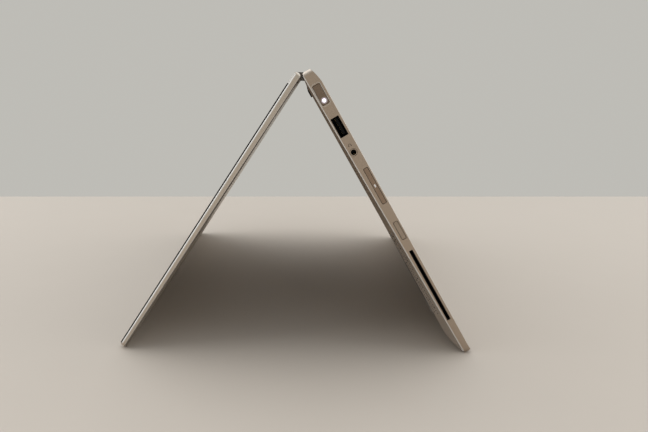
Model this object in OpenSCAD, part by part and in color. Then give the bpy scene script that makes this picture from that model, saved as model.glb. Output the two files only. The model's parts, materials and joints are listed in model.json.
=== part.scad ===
/* [Overall] */
// Width of the computer, side to side
body_w = 325; // [316:1:340]
// Depth of the base, from its hinge end to its front edge
base_len = 218; // [216:1:230]
// Thickness of the base, from the deck to the underside
base_t = 10; // [9.8:0.1:12]
// Thickness of the lid, from its back to the face of the gasket
lid_t = 4.9; // [4.8:0.1:6]
// Angle that the lid is opened to, counted from closed
open_angle = 296.7; // [285:0.1:310]
// Gap left over the deck by the closed lid, and over the feet by the folded one
closed_gap = 0.15; // [0.1:0.05:0.5]

/* [Base shell] */
// Thickness of the deck
deck_t = 1.4; // [1.2:0.1:1.5]
// Thickness of the bottom cover
cover_t = 1.1; // [0.8:0.1:1.2]
// Thickness of the side walls
wall_t = 2; // [1.4:0.1:2.4]
// Height of the upright side face at the hinge end
side_h_rear = 8.85; // [8.6:0.05:9.2]
// Height of the upright side face at the front edge
side_h_front = 4.9; // [4.6:0.1:6]
// Slope of the undercut below the side face, from level
undercut_angle = 35; // [28:1:50]
// Radius of the front corners, seen from above
corner_front_r = 5; // [4:0.5:11]
// Radius of the hinge-end corners, seen from above
corner_rear_r = 3; // [1:0.5:5]
// Bevel along the edges of the deck and of the lid's rim
edge_bevel = 0.35; // [0.2:0.05:0.6]
// Radius of the thin front lip
nose_r = 2.1; // [1.6:0.1:2.3]
// Radius of the curve that lifts the underside to the front lip
front_sweep_r = 38; // [30:1:44]
// Radius of the curves that thin the hinge end
rear_sweep_r = 40; // [32:1:60]
// Length of deck that curves down to the hinge end
rear_sweep_len = 15; // [12:0.5:16]
// Radius of the hinge end's two corners
rear_corner_r = 1.5; // [0.8:0.1:1.8]
// Height of the rubber feet
foot_h = 1; // [0.6:0.1:1.6]
// Width of a foot strip
foot_w = 4.5; // [3:0.1:6]
// Length of a foot strip
foot_len = 284; // [200:1:290]
// Radius of the speaker grilles' holes
grille_r = 0.55; // [0.3:0.05:0.7]
// Distance between two grille holes
grille_pitch = 2.4; // [2:0.1:3]
// Distance from the hinge end to the first grille hole
grille_at = 117; // [112:1:120]
// Number of holes in one grille row
grille_count = 28; // [20:1:28]

/* [Hinge] */
// Length of base or lid behind its own shaft
hinge_back = 4.1; // [3.9:0.1:4.6]
// Radius of the link housing's round ends
link_r = 2.8; // [2.6:0.05:3]
// Length of a link housing along its shafts
link_len = 28; // [24:1:34]
// Distance from the side of the computer to a link
link_inset = 32; // [26:1:40]
// Clearance round the link in the base and the lid
link_gap = 0.4; // [0.3:0.05:0.6]
// Radius of the hinge shafts
shaft_r = 1; // [0.9:0.05:1.05]
// Radius of a shaft's stepped end, inside its gear
shaft_tip_r = 0.6; // [0.5:0.05:0.65]
// Running clearance of shafts and gears
run_gap = 0.03; // [0.02:0.01:0.05]
// Number of teeth on each hinge gear
gear_teeth = 10; // [9:1:12]
// Length of the gears
gear_len = 4; // [3:0.5:6]
// Thickness of the cap over the gear chamber
link_cap_t = 1; // [0.8:0.1:1.5]
// Thickness of the steel hinge leaves
leaf_t = 1.2; // [1:0.1:1.4]
// Width of a hinge leaf along the shaft
leaf_w = 16; // [12:1:18]
// Length of a hinge leaf from its shaft
leaf_len = 19; // [16:1:20]

/* [Keyboard] */
// Distance from the side of the computer to the keys
key_margin = 23; // [22:0.5:24]
// Gap between two keys
key_space = 3.2; // [2.6:0.1:4]
// Depth of the function key row
function_pitch = 11.5; // [10:0.1:13]
// Distance from the hinge shaft to the first key row
key_rear = 26; // [25:0.5:28]
// Thickness of a key cap
cap_t = 1.3; // [1:0.1:1.5]
// Travel of a key
key_travel = 1.2; // [0.8:0.1:1.3]
// Depth of the keys and the trackpad below the deck
key_sink = 0.2; // [0.1:0.05:0.3]
// Clearance round a key, the trackpad and the side buttons
button_gap = 0.3; // [0.2:0.05:0.4]
// Thickness of the plate under the keys
tray_t = 0.6; // [0.4:0.1:0.7]
// Cut at the corners of the key caps
key_corner = 0.9; // [0.3:0.1:1.5]

/* [Trackpad] */
// Width of the trackpad
pad_w = 140; // [100:1:150]
// Distance from the front edge to the trackpad
pad_margin = 15.4; // [14.5:0.1:25]
// Distance from the keys to the trackpad
pad_space = 8; // [7:0.5:10]
// Thickness of the trackpad
pad_t = 1.2; // [1:0.1:1.3]
// Drop of the trackpad's front edge when it clicks
pad_click = 0.3; // [0.2:0.05:0.35]

/* [Left side] */
// Distance from the hinge end to the middle of the power button
power_at = 17; // [15:0.5:18]
// Length of the power button
power_len = 13; // [11:0.5:14]
// Height of the power button
power_h = 5.2; // [4:0.1:5.4]
// Distance from the hinge end to the middle of the rear port
port_at = 40.1; // [37:0.1:42]
// Distance from the hinge end to the audio socket
jack_at = 58.5; // [56:0.5:60]
// Radius of the audio socket's bore
jack_r = 1.75; // [1.75:0.01:1.8]
// Distance from the hinge end to the middle of the volume rocker
rocker_at = 84.2; // [82:0.1:86]
// Length of the volume rocker
rocker_len = 26; // [22:1:28]
// Height of the volume rocker and the home button
rocker_h = 2.8; // [2.2:0.1:3]
// Distance from the hinge end to the middle of the home button
home_at = 118.1; // [117:0.1:121]
// Length of the home button
home_len = 13; // [10:1:15]
// Distance from the home button to the card slot
card_gap = 9.5; // [8:0.5:12]
// Distance from the card slot to the front edge
card_margin = 28.8; // [27:0.1:34]
// Height of the card slot
card_h = 2; // [1.6:0.1:2.2]
// Depth of the ports' centre line below the deck
port_drop = 4.45; // [4.3:0.05:4.6]
// Depth of the small buttons' and the card slot's centre line below the deck
slot_drop = 2.9; // [2.9:0.05:3.1]
// Push of a side button
button_push = 0.4; // [0.2:0.05:0.4]

/* [Right side] */
// Distance from the hinge end to the power inlet
inlet_at = 14; // [13:0.5:16]
// Radius of the power inlet's mouth
inlet_r = 2.4; // [2.2:0.1:2.6]
// Distance from the hinge end to the wide video port
video_at = 32; // [30:0.5:34]
// Distance from the hinge end to the small video port
mini_video_at = 49; // [47:0.5:51]
// Distance from the hinge end to the first of the two right ports
right_port_at = 66; // [65:0.5:67]
// Distance between the two right ports
right_port_step = 20; // [19:0.5:22]

/* [Lid] */
// Height of the gasket above the lid's rim
gasket_h = 0.9; // [0.7:0.05:1]
// Thickness of the lid's back wall
lid_back_t = 0.9; // [0.7:0.05:1]
// Distance from the lid's edge to the gasket
gasket_inset = 1; // [0.8:0.1:1.5]
// Width of the gasket
gasket_w = 1.6; // [1.2:0.1:2]
// Thickness of the cover glass
glass_t = 0.7; // [0.5:0.05:0.75]
// Width of the ledge round the lid's pocket
lid_rim_w = 4.2; // [4:0.1:5]
// Length of the solid bar at the lid's hinge end, from the shaft
lid_bar = 6.4; // [6:0.1:8]
// Radius of the edge between the lid's back and its free edge
lid_back_r = 1.2; // [0.6:0.1:1.5]
// Height of the lid's upright side face at the hinge end
lid_side_rear = 3.5; // [3:0.1:3.7]
// Height of the lid's upright side face at the free edge
lid_side_front = 2.4; // [1.8:0.1:3]
// Width of the dark border at each side of the display panel
panel_side = 13; // [11.5:0.5:17]
// Height of the dark border over the display panel, with the camera
panel_head = 9.4; // [9.4:0.1:11]
// Distance from the lid's shaft to the display panel
panel_foot = 30.5; // [29.5:0.5:36]
// Thickness of the display panel
panel_t = 2.4; // [2:0.1:2.6]

/* [Cooling] */
// Distance from the middle to a fan's axis
fan_x = 72; // [70:1:76]
// Distance from the hinge shaft to the fans' axes
fan_y = 52; // [50:1:54]
// Width of a square fan housing
fan_w = 48; // [44:1:50]
// Thickness of a fan housing
fan_t = 4.2; // [4:0.1:4.3]
// Number of fan blades
fan_blades = 27; // [15:2:31]
// Radius of the rotor's hub
hub_r = 9; // [7:0.5:11]
// Backward curve of the blades, as the radius of their arc
blade_r = 16; // [13:0.5:24]
// Distance between two intake slots
intake_pitch = 4; // [3.6:0.1:4.4]
// Width of the intake and exhaust slots
vent_w = 1.6; // [1.2:0.1:2]
// Length of the intake slots
intake_len = 26; // [18:1:30]
// Length of the exhaust slots
exhaust_len = 5; // [3:0.5:6]
// Thickness of the heat sinks' fins
fin_t = 0.3; // [0.2:0.05:0.4]
// Distance between two fins
fin_pitch = 2; // [1.6:0.1:3]

/* [Hidden] */

$fn = 48;
eps = 0.05;
far = 60;
arc_steps = 8;

// Clearances and thin walls used throughout
air = 0.3;
seat = 0.1;
rim = 0.5;
tray_lip = 0.5;
bracket_lip = 1.7;
bracket_air = 0.8;
bracket_t = 0.5;
arrow_gap = 0.8;
pad_corner = 1.5;
foot_back = 7;
foot_end_r = 0.45 * foot_w;

// Base frame: x across, y from the hinge shaft to the front edge, z up from the deck.
half_w = body_w / 2;
front_y = base_len - hinge_back;
rear_y = -hinge_back;
lid_half = lid_t / 2;
shaft_drop = (base_t + foot_h) / 2;
shaft_gap = shaft_drop + lid_half + closed_gap;

// Outline of the base: centres and tangent angles of its arcs
nose_y = front_y - nose_r;
sweep_rise = front_sweep_r - base_t + nose_r;
sweep_y = nose_y - sqrt(pow(front_sweep_r - nose_r, 2) - pow(sweep_rise, 2));
nose_turn = atan2(-sweep_rise, nose_y - sweep_y);
rear_corner_y = rear_y + rear_corner_r;
rear_reach = rear_sweep_r - rear_corner_r;
top_sweep_y = rear_y + rear_sweep_len;
top_sweep_dz = sqrt(pow(rear_reach, 2) - pow(top_sweep_y - rear_corner_y, 2));
top_turn = atan2(top_sweep_dz, rear_corner_y - top_sweep_y);
low_sweep_y = rear_y + 0.77 * rear_sweep_len;
low_sweep_dz = sqrt(pow(rear_reach, 2) - pow(low_sweep_y - rear_corner_y, 2));
low_turn = atan2(-low_sweep_dz, rear_corner_y - low_sweep_y);
side_tilt = atan((side_h_rear - side_h_front) / base_len);

// Cavity of the base
cavity_rear = rear_y + 1.6;
cavity_front = front_y - 8;
inner_front_r = front_sweep_r - cover_t;
inner_low_r = rear_sweep_r - cover_t;
inner_top_r = rear_sweep_r - deck_t;
floor_z = -base_t + cover_t;

// The tent: both legs stand on the floor, the base on its lip and the lid on its edge.
lid_len = front_y;
lid_edge_y = lid_len - lid_back_r;
lid_side_tilt = atan((lid_side_rear - lid_side_front) / lid_len);
lid_edge_z = lid_half - lid_back_r;
half_tent = (360 - open_angle) / 2;
lip_reach = norm([nose_y, -nose_r + shaft_drop]);
lip_slope = atan2(-nose_r + shaft_drop, nose_y);
edge_reach = norm([lid_edge_y, lid_edge_z]);
edge_slope = atan2(lid_edge_z, lid_edge_y);
lean_a = edge_reach * cos(half_tent - edge_slope) - lip_reach * cos(half_tent + lip_slope);
lean_b = edge_reach * sin(half_tent - edge_slope) + lip_reach * sin(half_tent + lip_slope)
    + shaft_gap;
lean = atan2(lean_b, lean_a) - acos((nose_r - lid_back_r) / norm([lean_a, lean_b]));
base_lean = half_tent + lean;
lid_lean = half_tent - lean;
link_angle = 180 + lean;
base_shaft_z = lip_reach * cos(base_lean + lip_slope) + nose_r;
lid_shaft_z = base_shaft_z + shaft_gap * sin(link_angle);

// Reach of the two legs along Y, for an origin under the middle of the tent
base_out = sin(base_lean) * nose_y + cos(base_lean) * (-nose_r + shaft_drop) + nose_r;
gasket_end_y = lid_len - gasket_inset;
lid_out = sin(lid_lean) * gasket_end_y + cos(lid_lean) * lid_half;
base_shaft_y = (lid_out - base_out - shaft_gap * cos(link_angle)) / 2;
lid_shaft_y = base_shaft_y + shaft_gap * cos(link_angle);

// Hinge places along X
link_out = half_w - link_inset;
link_in = link_out - link_len;
gear_out = link_out - link_cap_t - air;
gear_in = gear_out - gear_len;
chamber_in = gear_in - air;
leaf_out = link_in - link_gap;
leaf_in = leaf_out - leaf_w;
notch_y = link_r + link_gap;
notch_wall = 1.5;
gear_pitch_r = shaft_gap / 6;
gear_module = 2 * gear_pitch_r / gear_teeth;
gear_tip_r = gear_pitch_r + 0.75 * gear_module;
gear_root_r = gear_pitch_r - 1.2 * gear_module;
gear_base_r = gear_pitch_r * cos(25);
gear_backlash = 0.16 * gear_module;
chamber_r = gear_tip_r + 0.2;
idler_pin_r = 0.5;
leaf_screw_r = 1.1;
leaf_head_r = 2;
leaf_head_h = 0.7;
leaf_boss_r = 2.2;
leaf_hole_inset = 4;
leaf_hole_y = leaf_len - leaf_hole_inset;
leaf_holes = [leaf_in + leaf_hole_inset, leaf_out - leaf_hole_inset];
bore_gap = 0.3;

// Keyboard: widths of the keys of each row, in key pitches
function_row = [for (i = [0:15]) 15 / 16];
number_row = concat([for (i = [0:12]) 1], [2]);
upper_row = concat([1.5], [for (i = [0:11]) 1], [1.5]);
home_row = concat([1.75], [for (i = [0:10]) 1], [2.25]);
lower_row = concat([2.25], [for (i = [0:9]) 1], [2.75]);
bottom_row = [1.25, 1, 1.25, 1.25, 5, 1.25, 1, 1, 1, 1];
space_index = 4;
arrow_index = 8;
rows = [function_row, number_row, upper_row, home_row, lower_row, bottom_row];
row_units = 15;
field_w = body_w - 2 * key_margin;
key_pitch = field_w / row_units;
field_d = function_pitch + 5 * key_pitch;
key_front = key_rear + field_d;
cap_z = -key_sink - cap_t;
tray_z = cap_z - key_travel - 0.4;
pad_rear = key_front + pad_space;
pad_front = front_y - pad_margin;
pad_z = -key_sink - pad_t;
bracket_z = pad_z - pad_click - 0.25;

// Inner pieces, stacked under the tray
board_t = 0.9;
board_z = tray_z - tray_t - air;
board_margin = 26;
board_front = key_front - 4;
board_wide = half_w - board_margin;
processor = 22;
processor_t = 1.6;
processor_y = 62;
memory = 12;
memory_pitch = 1.5 * memory;
memory_side = 2 * memory;
memory_t = 1.2;
memory_y = 88;
fan_z = floor_z + 0.25 + fan_t / 2;
fan_wall = 0.5;
rotor_r = fan_w / 2 - 2.2;
intake_r = 0.72 * rotor_r;
spindle_r = 1.2;
spindle_h = 2;
blade_t = 0.6;
blade_lean = 22;
fan_board_gap = 2;
pipe_w = 8;
pipe_t = 1.1;
pipe_corner = 1;
pipe_z = board_z - board_t - processor_t - seat - pipe_t;
sink_rear = leaf_len + 1.2;
sink_front = fan_y - fan_w / 2 - 1;
sink_in = fan_x - fan_w / 2 - air - pipe_w;
sink_out = fan_x + fan_w / 2 - 2;
sink_z = fan_z - fan_t / 2 + air;
sink_top = board_z - board_t - seat;
battery_w = 186;
battery_cells = 4;
battery_gap = 1;
battery_lead = 3;
battery_rear = key_front + 4;
battery_front = sweep_y - 2;
battery_z = bracket_z - bracket_t - air;
cell_z = floor_z + air;
speaker_len = 38;
speaker_w = 29;
speaker_in = 13;
speaker_pad_w = 8;
speaker_back = 4;
speaker_pad_t = 1.2;
card_drop = 2.2;
card_t = 0.8;
cards_y = 100;
chip_t = 0.9;
chip_gap = 2;
socket_w = 4;
ssd_size = [80, 22];
card_margin_x = 24.5;
wireless_x = 94.5;
wireless_size = [30, 22];
grille_low = 0.5;
grille_high = 0.8;
button_wall = 1;
button_flange = 0.8;
button_board_t = 0.8;
button_face = half_w - 0.1;
flange_gap = 0.4;
power_drop = port_drop + 0.3;
power_corner = 1;
rocker_r = 0.7;
rocker_corner = 0.8;
light_r = 1;
light_depth = 0.8;
light_at = power_at + 0.32 * power_len;
nub_len = 2.2;
nub_h = 1;
nub_round = 0.4;
port_mouth = half_w - 0.3;
port_wall = 0.35;
port_back = 1;
port_corner = 0.4;
tongue_sink = 1.5;
tongue_share = 0.42;
port_fit = 0.15;
wall_air = 0.2;
usb_w = 13.2;
usb_h = 5.4;
usb_d = 14;
usb_tongue = 1.8;
usb_tongue_rise = 0.6;
video_tongue = 0.8;
video_tongue_rise = 0.3;
video_size = [9, 14.4, 4.6];
mini_video_size = [8, 7.6, 4.8];
collar = 0.6;
jack_body = [12, 6.2, 5];
inlet_body = [11, 7, 6.6];
inlet_collar = 0.5;
inlet_pin_r = 0.4;
card_rear = home_at + home_len / 2 + card_gap;
card_len = base_len - card_margin - card_rear;
card_at = card_rear + card_len / 2;
reader_top = -deck_t - wall_air;
reader_in = field_w / 2 + 2;
reader_wall = 0.5;
reader_side = 1.5;
reader_mouth = 0.5;
reader_lip = 0.2;
reader_end_t = 2;
reader_drop = slot_drop + wall_air;
port_board_t = 0.7;
port_board_z = -port_drop - usb_h / 2 - 0.25;
port_board_in = 24;
port_board_out = 2.2;
board_lap = 3;

// Display, behind the cover glass
panel_top = lid_len - panel_head;
panel_w = body_w - 2 * panel_side;
panel_face = -lid_half + seat + glass_t + seat;
panel_board_w = 150;
panel_board_d = 6;
panel_board_t = 1.2;
camera_y = panel_top + 0.4;
camera_w = 32;
camera_d = 4.2;
camera_t = 0.8;
lens_r = 1.8;
lens_h = 2;
microphone_x = 32;
microphone_w = 14;
capsule_w = 3.5;
capsule_d = 2.6;
lid_pocket_y = lid_bar + 2;

// Screw posts of the bottom cover
post_r = 2.4;
post_lift = 0.6;
post_solid = 2.6;
drive_r = 1;
screw_r = 1.5;
screw_shank_r = 0.6 * screw_r;
screw_head_r = 2;
screw_head_h = 0.6;
screw_sink = 0.5 * cover_t;
post_front_y = front_y - 21.5;
post_mid_y = key_front + 5.5;
post_rear_y = 18.5;
posts = [
    for (side = [-1, 1])
        for (at = [[side * 100, post_front_y], [side * 140, post_front_y],
                [side * 106, post_mid_y], [side * 20, post_rear_y]])
            at
];

function arc(cy, cz, r, a0, a1, n = arc_steps) =
    [for (i = [0:n]) let (a = a0 + (a1 - a0) * i / n) [cy + r * cos(a), cz + r * sin(a)]];

function from_end(e) = rear_y + e;

function sum_to(list, n) = n == 0 ? 0 : list[n - 1] + sum_to(list, n - 1);

function row_pitch(r) = r == 0 ? function_pitch : key_pitch;

function row_y(r) = key_rear + (r == 0 ? 0 : function_pitch + (r - 1) * key_pitch);

// Left edge of a key; the rows start at the user's left, which is +X.
function key_x(r, i) = field_w / 2 - sum_to(rows[r], i) * key_pitch;

module in_base() {
    translate([0, base_shaft_y, base_shaft_z])
        rotate([-(90 - base_lean), 0, 0])
            translate([0, 0, shaft_drop])
                children();
}

module in_link() {
    translate([0, base_shaft_y, base_shaft_z])
        rotate([link_angle, 0, 0])
            children();
}

module in_lid() {
    translate([0, lid_shaft_y, lid_shaft_z])
        rotate([-(90 + lid_lean), 0, 0])
            children();
}

// Extrudes an outline drawn in (y, z) from x0 to x1.
module along_x(x0, x1) {
    translate([x0, 0, 0])
        rotate([90, 0, 90])
            linear_extrude(x1 - x0)
                children();
}

// Extrudes an outline drawn in (x, z) from y0 to y1.
module along_y(y0, y1) {
    translate([0, y1, 0])
        rotate([90, 0, 0])
            linear_extrude(y1 - y0)
                children();
}

module block(lo, hi) {
    translate(lo)
        cube(hi - lo);
}

module rounded(x0, y0, x1, y1, r_low, r_high) {
    polygon(concat(
        arc(x1 - r_high, y1 - r_high, r_high, 0, 90),
        arc(x0 + r_high, y1 - r_high, r_high, 90, 180),
        arc(x0 + r_low, y0 + r_low, r_low, 180, 270),
        arc(x1 - r_low, y0 + r_low, r_low, 270, 360)
    ));
}

// A slot with round ends through a side wall, at (y, z).
module side_slot(y, z, length, height, r, x0, x1) {
    along_x(x0, x1)
        rounded(y - length / 2, z - height / 2, y + length / 2, z + height / 2, r, r);
}

module both_sides() {
    children();
    mirror([1, 0, 0])
        children();
}

// ---- Base shell ----

module base_outline() {
    polygon(concat(
        arc(nose_y, -nose_r, nose_r, 90, nose_turn),
        arc(sweep_y, front_sweep_r - base_t, front_sweep_r, nose_turn, -90),
        arc(low_sweep_y, rear_sweep_r - base_t, rear_sweep_r, -90, low_turn),
        arc(rear_corner_y, rear_sweep_r - base_t - low_sweep_dz, rear_corner_r,
            low_turn, -180),
        arc(rear_corner_y, top_sweep_dz - rear_sweep_r, rear_corner_r,
            180, top_turn),
        arc(top_sweep_y, -rear_sweep_r, rear_sweep_r, top_turn, 90)
    ));
}

module cavity_outline() {
    front_turn = -acos((cavity_front - sweep_y) / inner_front_r);
    low_end = -180 + acos((low_sweep_y - cavity_rear) / inner_low_r);
    top_end = 180 - acos((top_sweep_y - cavity_rear) / inner_top_r);
    polygon(concat(
        [[cavity_front, -deck_t]],
        arc(sweep_y, front_sweep_r - base_t, inner_front_r, front_turn, -90),
        arc(low_sweep_y, rear_sweep_r - base_t, inner_low_r, -90, low_end),
        arc(top_sweep_y, -rear_sweep_r, inner_top_r, top_end, 90)
    ));
}

// The space between the two undercuts, narrowed by inset on each side
module undercut_space(inset) {
    run = base_t / tan(undercut_angle);
    x1 = half_w - inset;
    translate([0, rear_y, -side_h_rear])
        rotate([side_tilt, 0, 0])
            along_y(-far, base_len + far)
                polygon([[-x1, far], [x1, far], [x1, 0], [x1 - run, -base_t],
                    [run - x1, -base_t], [-x1, 0]]);
}

module above_seam() {
    translate([0, rear_y, -side_h_rear])
        rotate([side_tilt, 0, 0])
            block([-body_w, -far, 0], [body_w, base_len + far, far]);
}

module base_solid() {
    intersection() {
        along_x(-half_w, half_w)
            base_outline();
        translate([0, 0, -far])
            linear_extrude(2 * far)
                rounded(-half_w, rear_y, half_w, front_y, corner_rear_r, corner_front_r);
        undercut_space(0);
        along_y(rear_y - eps, front_y + eps)
            polygon([[-half_w + edge_bevel, 0], [half_w - edge_bevel, 0],
                [half_w, -edge_bevel], [half_w, -far], [-half_w, -far],
                [-half_w, -edge_bevel]]);
    }
}

module base_cavity() {
    intersection() {
        along_x(-half_w + wall_t, half_w - wall_t)
            cavity_outline();
        undercut_space(wall_t);
    }
}

module link_notches() {
    both_sides()
        block([link_in - link_gap, rear_y - 1, -far],
            [link_out + link_gap, notch_y, far]);
}

module notch_walls() {
    intersection() {
        both_sides()
            block([link_in - link_gap - notch_wall, rear_y - 1, -base_t],
                [link_out + link_gap + notch_wall, notch_y + notch_wall, 0]);
        base_solid();
    }
}

module key_holes() {
    for (r = [0:len(rows) - 1])
        for (i = [0:len(rows[r]) - 1])
            key_block(r, i, button_gap, -deck_t - 1, 1);
}

// A key with cut corners, or the hole round it when grown
module key_block(r, i, grow, z0, z1) {
    x1 = key_x(r, i) - key_space / 2 + grow;
    x0 = key_x(r, i + 1) + key_space / 2 - grow;
    y0 = row_y(r) + key_space / 2 - grow;
    y1 = row_y(r) + row_pitch(r) - key_space / 2 + grow;
    cut = key_corner + grow * tan(22.5);
    translate([0, 0, z0])
        linear_extrude(z1 - z0)
            polygon([[x0 + cut, y0], [x1 - cut, y0], [x1, y0 + cut], [x1, y1 - cut],
                [x1 - cut, y1], [x0 + cut, y1], [x0, y1 - cut], [x0, y0 + cut]]);
}

module screw_posts() {
    for (at = posts)
        translate([at[0], at[1], floor_z + post_lift])
            cylinder(r = post_r, h = -deck_t - floor_z - post_lift + eps);
}

module leaf_bosses() {
    both_sides()
        for (x = leaf_holes)
            translate([x, leaf_hole_y, -shaft_drop + leaf_t / 2])
                cylinder(r = leaf_boss_r, h = shaft_drop - leaf_t / 2 - deck_t + eps);
}

module left_openings() {
    x0 = half_w - wall_t - 1;
    x1 = half_w + 1;
    grow = 2 * button_gap;
    fit = 2 * port_fit;
    side_slot(from_end(power_at), -power_drop, power_len + grow, power_h + grow,
        power_corner + button_gap, x0, x1);
    side_slot(from_end(port_at), -port_drop, usb_w + fit, usb_h + fit, port_corner, x0, x1);
    translate([x0, from_end(jack_at), -port_drop])
        rotate([0, 90, 0])
            cylinder(r = jack_r + collar + port_fit, h = x1 - x0);
    side_slot(from_end(rocker_at), -slot_drop, rocker_len + grow, rocker_h + grow,
        rocker_corner, x0, x1);
    side_slot(from_end(home_at), -slot_drop, home_len + grow, rocker_h + grow,
        rocker_corner, x0, x1);
    side_slot(from_end(card_at), -reader_drop, card_len + reader_mouth + fit,
        card_h + reader_lip + fit, port_corner, x0, x1);
}

module right_openings() {
    x0 = half_w - wall_t - 1;
    x1 = half_w + 1;
    fit = 2 * port_fit;
    mirror([1, 0, 0]) {
        translate([x0, from_end(inlet_at), -port_drop])
            rotate([0, 90, 0])
                cylinder(r = inlet_r + inlet_collar + port_fit, h = x1 - x0);
        side_slot(from_end(video_at), -port_drop, video_size[1] + fit,
            video_size[2] + fit, port_corner, x0, x1);
        side_slot(from_end(mini_video_at), -port_drop, mini_video_size[1] + fit,
            mini_video_size[2] + fit, port_corner, x0, x1);
        for (k = [0, 1])
            side_slot(from_end(right_port_at + k * right_port_step), -port_drop,
                usb_w + fit, usb_h + fit, port_corner, x0, x1);
    }
}

module top_case() {
    color("silver")
        in_base()
            difference() {
                union() {
                    intersection() {
                        union() {
                            difference() {
                                base_solid();
                                base_cavity();
                            }
                            notch_walls();
                        }
                        above_seam();
                    }
                    screw_posts();
                    leaf_bosses();
                }
                link_notches();
                key_holes();
                block([-pad_w / 2 - button_gap, pad_rear - button_gap, -deck_t - 1],
                    [pad_w / 2 + button_gap, pad_front + button_gap, 1]);
                left_openings();
                right_openings();
                shaft_bores();
                leaf_slots();
                screw_holes();
            }
}

// Holes for the base shafts through the walls beside the notches
module shaft_bores() {
    both_sides()
        translate([leaf_in, 0, -shaft_drop])
            rotate([0, 90, 0])
                cylinder(r = shaft_r + bore_gap, h = leaf_w + 1);
}

// Room for the hinge leaves through the notch walls
module leaf_slots() {
    both_sides()
        block([leaf_in - air, -air, -shaft_drop - leaf_t / 2 - air],
            [leaf_out, leaf_len + air, -shaft_drop + leaf_t / 2]);
}

module screw_holes() {
    for (at = posts)
        translate([at[0], at[1], -base_t - 1])
            cylinder(r = screw_shank_r + eps, h = base_t + 1 - deck_t - post_solid);
}

// Intake slots under each fan, and exhaust slots under its heat sink
module vents() {
    for (side = [-1, 1]) {
        intake_n = round(intake_r / intake_pitch);
        exhaust_n = floor((sink_out - sink_in) / 2 / intake_pitch);
        for (k = [-intake_n:intake_n])
            floor_slot(side * fan_x + k * intake_pitch, fan_y, intake_len);
        for (k = [-exhaust_n:exhaust_n])
            floor_slot(side * (sink_in + sink_out) / 2 + k * intake_pitch,
                (sink_rear + sink_front) / 2, exhaust_len);
    }
}

module floor_slot(x, y, length) {
    r = vent_w / 2 - eps / 5;
    translate([x, y, floor_z - cover_t - 1])
        linear_extrude(cover_t + 1 + eps)
            rounded(-vent_w / 2, -length / 2, vent_w / 2, length / 2, r, r);
}

// Two rows of round holes through each undercut, over the speakers
module speaker_grilles() {
    both_sides()
        for (k = [0:grille_count - 1])
            for (reach = [grille_low, grille_high])
                grille_hole(grille_at + (k + (reach == grille_low ? 0.5 : 0)) * grille_pitch, reach);
}

// A hole across the undercut, at a distance from the hinge end and a share of the slope
module grille_hole(e, reach) {
    crease = -side_h_rear + e * tan(side_tilt);
    slope = (base_t + crease) / sin(undercut_angle);
    translate([half_w - reach * slope * cos(undercut_angle), from_end(e),
            crease - reach * slope * sin(undercut_angle)])
        rotate([0, 180 - undercut_angle, 0])
            translate([0, 0, -wall_t])
                cylinder(r = grille_r, h = wall_t + 1);
}

module bottom_cover() {
    color("silver")
        in_base()
            difference() {
                base_solid();
                base_cavity();
                above_seam();
                link_notches();
                vents();
                speaker_grilles();
                for (at = posts)
                    translate([at[0], at[1], -base_t - 1]) {
                        cylinder(r = screw_head_r + port_fit, h = 1 + screw_sink + air);
                        cylinder(r = screw_r + seat, h = base_t);
                    }
            }
}

// ---- Keyboard ----

module keyboard_tray() {
    wide = field_w / 2 + 1;
    color("dimgray")
        in_base() {
            block([-wide, key_rear - tray_lip, tray_z - tray_t],
                [wide, key_front + tray_lip, tray_z]);
            for (y = [key_rear - tray_lip, key_front - tray_lip])
                block([-wide, y, tray_z - eps], [wide, y + 2 * tray_lip, -deck_t]);
        }
}

module key_row(r, skip = -1) {
    color("gainsboro")
        in_base()
            for (i = [0:len(rows[r]) - 1])
                if (i != skip)
                    key_cap(r, i);
}

// The up and down arrows share one place, split across its depth.
module key_cap(r, i) {
    difference() {
        key_block(r, i, 0, cap_z, -key_sink);
        if (r == len(rows) - 1 && i == arrow_index)
            translate([0, row_y(r) + key_pitch / 2, 0])
                block([-half_w, -arrow_gap / 2, cap_z - 1], [half_w, arrow_gap / 2, 1]);
    }
}

module function_keys() {
    key_row(0);
}

module number_keys() {
    key_row(1);
}

module upper_letter_keys() {
    key_row(2);
}

module home_letter_keys() {
    key_row(3);
}

module lower_letter_keys() {
    key_row(4);
}

module bottom_keys() {
    key_row(5, space_index);
}

module space_bar() {
    color("gainsboro")
        in_base()
            key_cap(5, space_index);
}

module trackpad() {
    color("lightgray")
        in_base()
            translate([0, 0, pad_z])
                linear_extrude(pad_t)
                    rounded(-pad_w / 2, pad_rear, pad_w / 2, pad_front, pad_corner, pad_corner);
}

module trackpad_bracket() {
    outer = bracket_air + bracket_lip;
    color("slategray")
        in_base()
            difference() {
                block([-pad_w / 2 - outer, pad_rear - outer, bracket_z - bracket_t],
                    [pad_w / 2 + outer, pad_front + outer, -deck_t]);
                block([-pad_w / 2 - bracket_air, pad_rear - bracket_air, bracket_z],
                    [pad_w / 2 + bracket_air, pad_front + bracket_air, 1]);
            }
}

// ---- Inner pieces ----

// Board in front of the fans, with a tongue between them
module mainboard() {
    fans_front = fan_y + fan_w / 2 + fan_board_gap;
    tongue = fan_x - fan_w / 2 - fan_board_gap;
    wide = board_wide;
    color("darkgreen")
        in_base() {
            translate([0, 0, board_z - board_t])
                linear_extrude(board_t)
                    polygon([[-wide, fans_front], [-tongue, fans_front], [-tongue, key_rear],
                        [tongue, key_rear], [tongue, fans_front], [wide, fans_front],
                        [wide, board_front], [-wide, board_front]]);
            chip(0, processor_y, processor, processor_t);
            for (k = [-1:1])
                chip(k * memory_pitch - memory, memory_y, memory, memory_t);
            chip(wide - memory_side, memory_y, memory, memory_t);
        }
}

// A square chip under the board
module chip(x, y, size, t) {
    block([x - size / 2, y - size / 2, board_z - board_t - t],
        [x + size / 2, y + size / 2, board_z - board_t + eps]);
}

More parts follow.
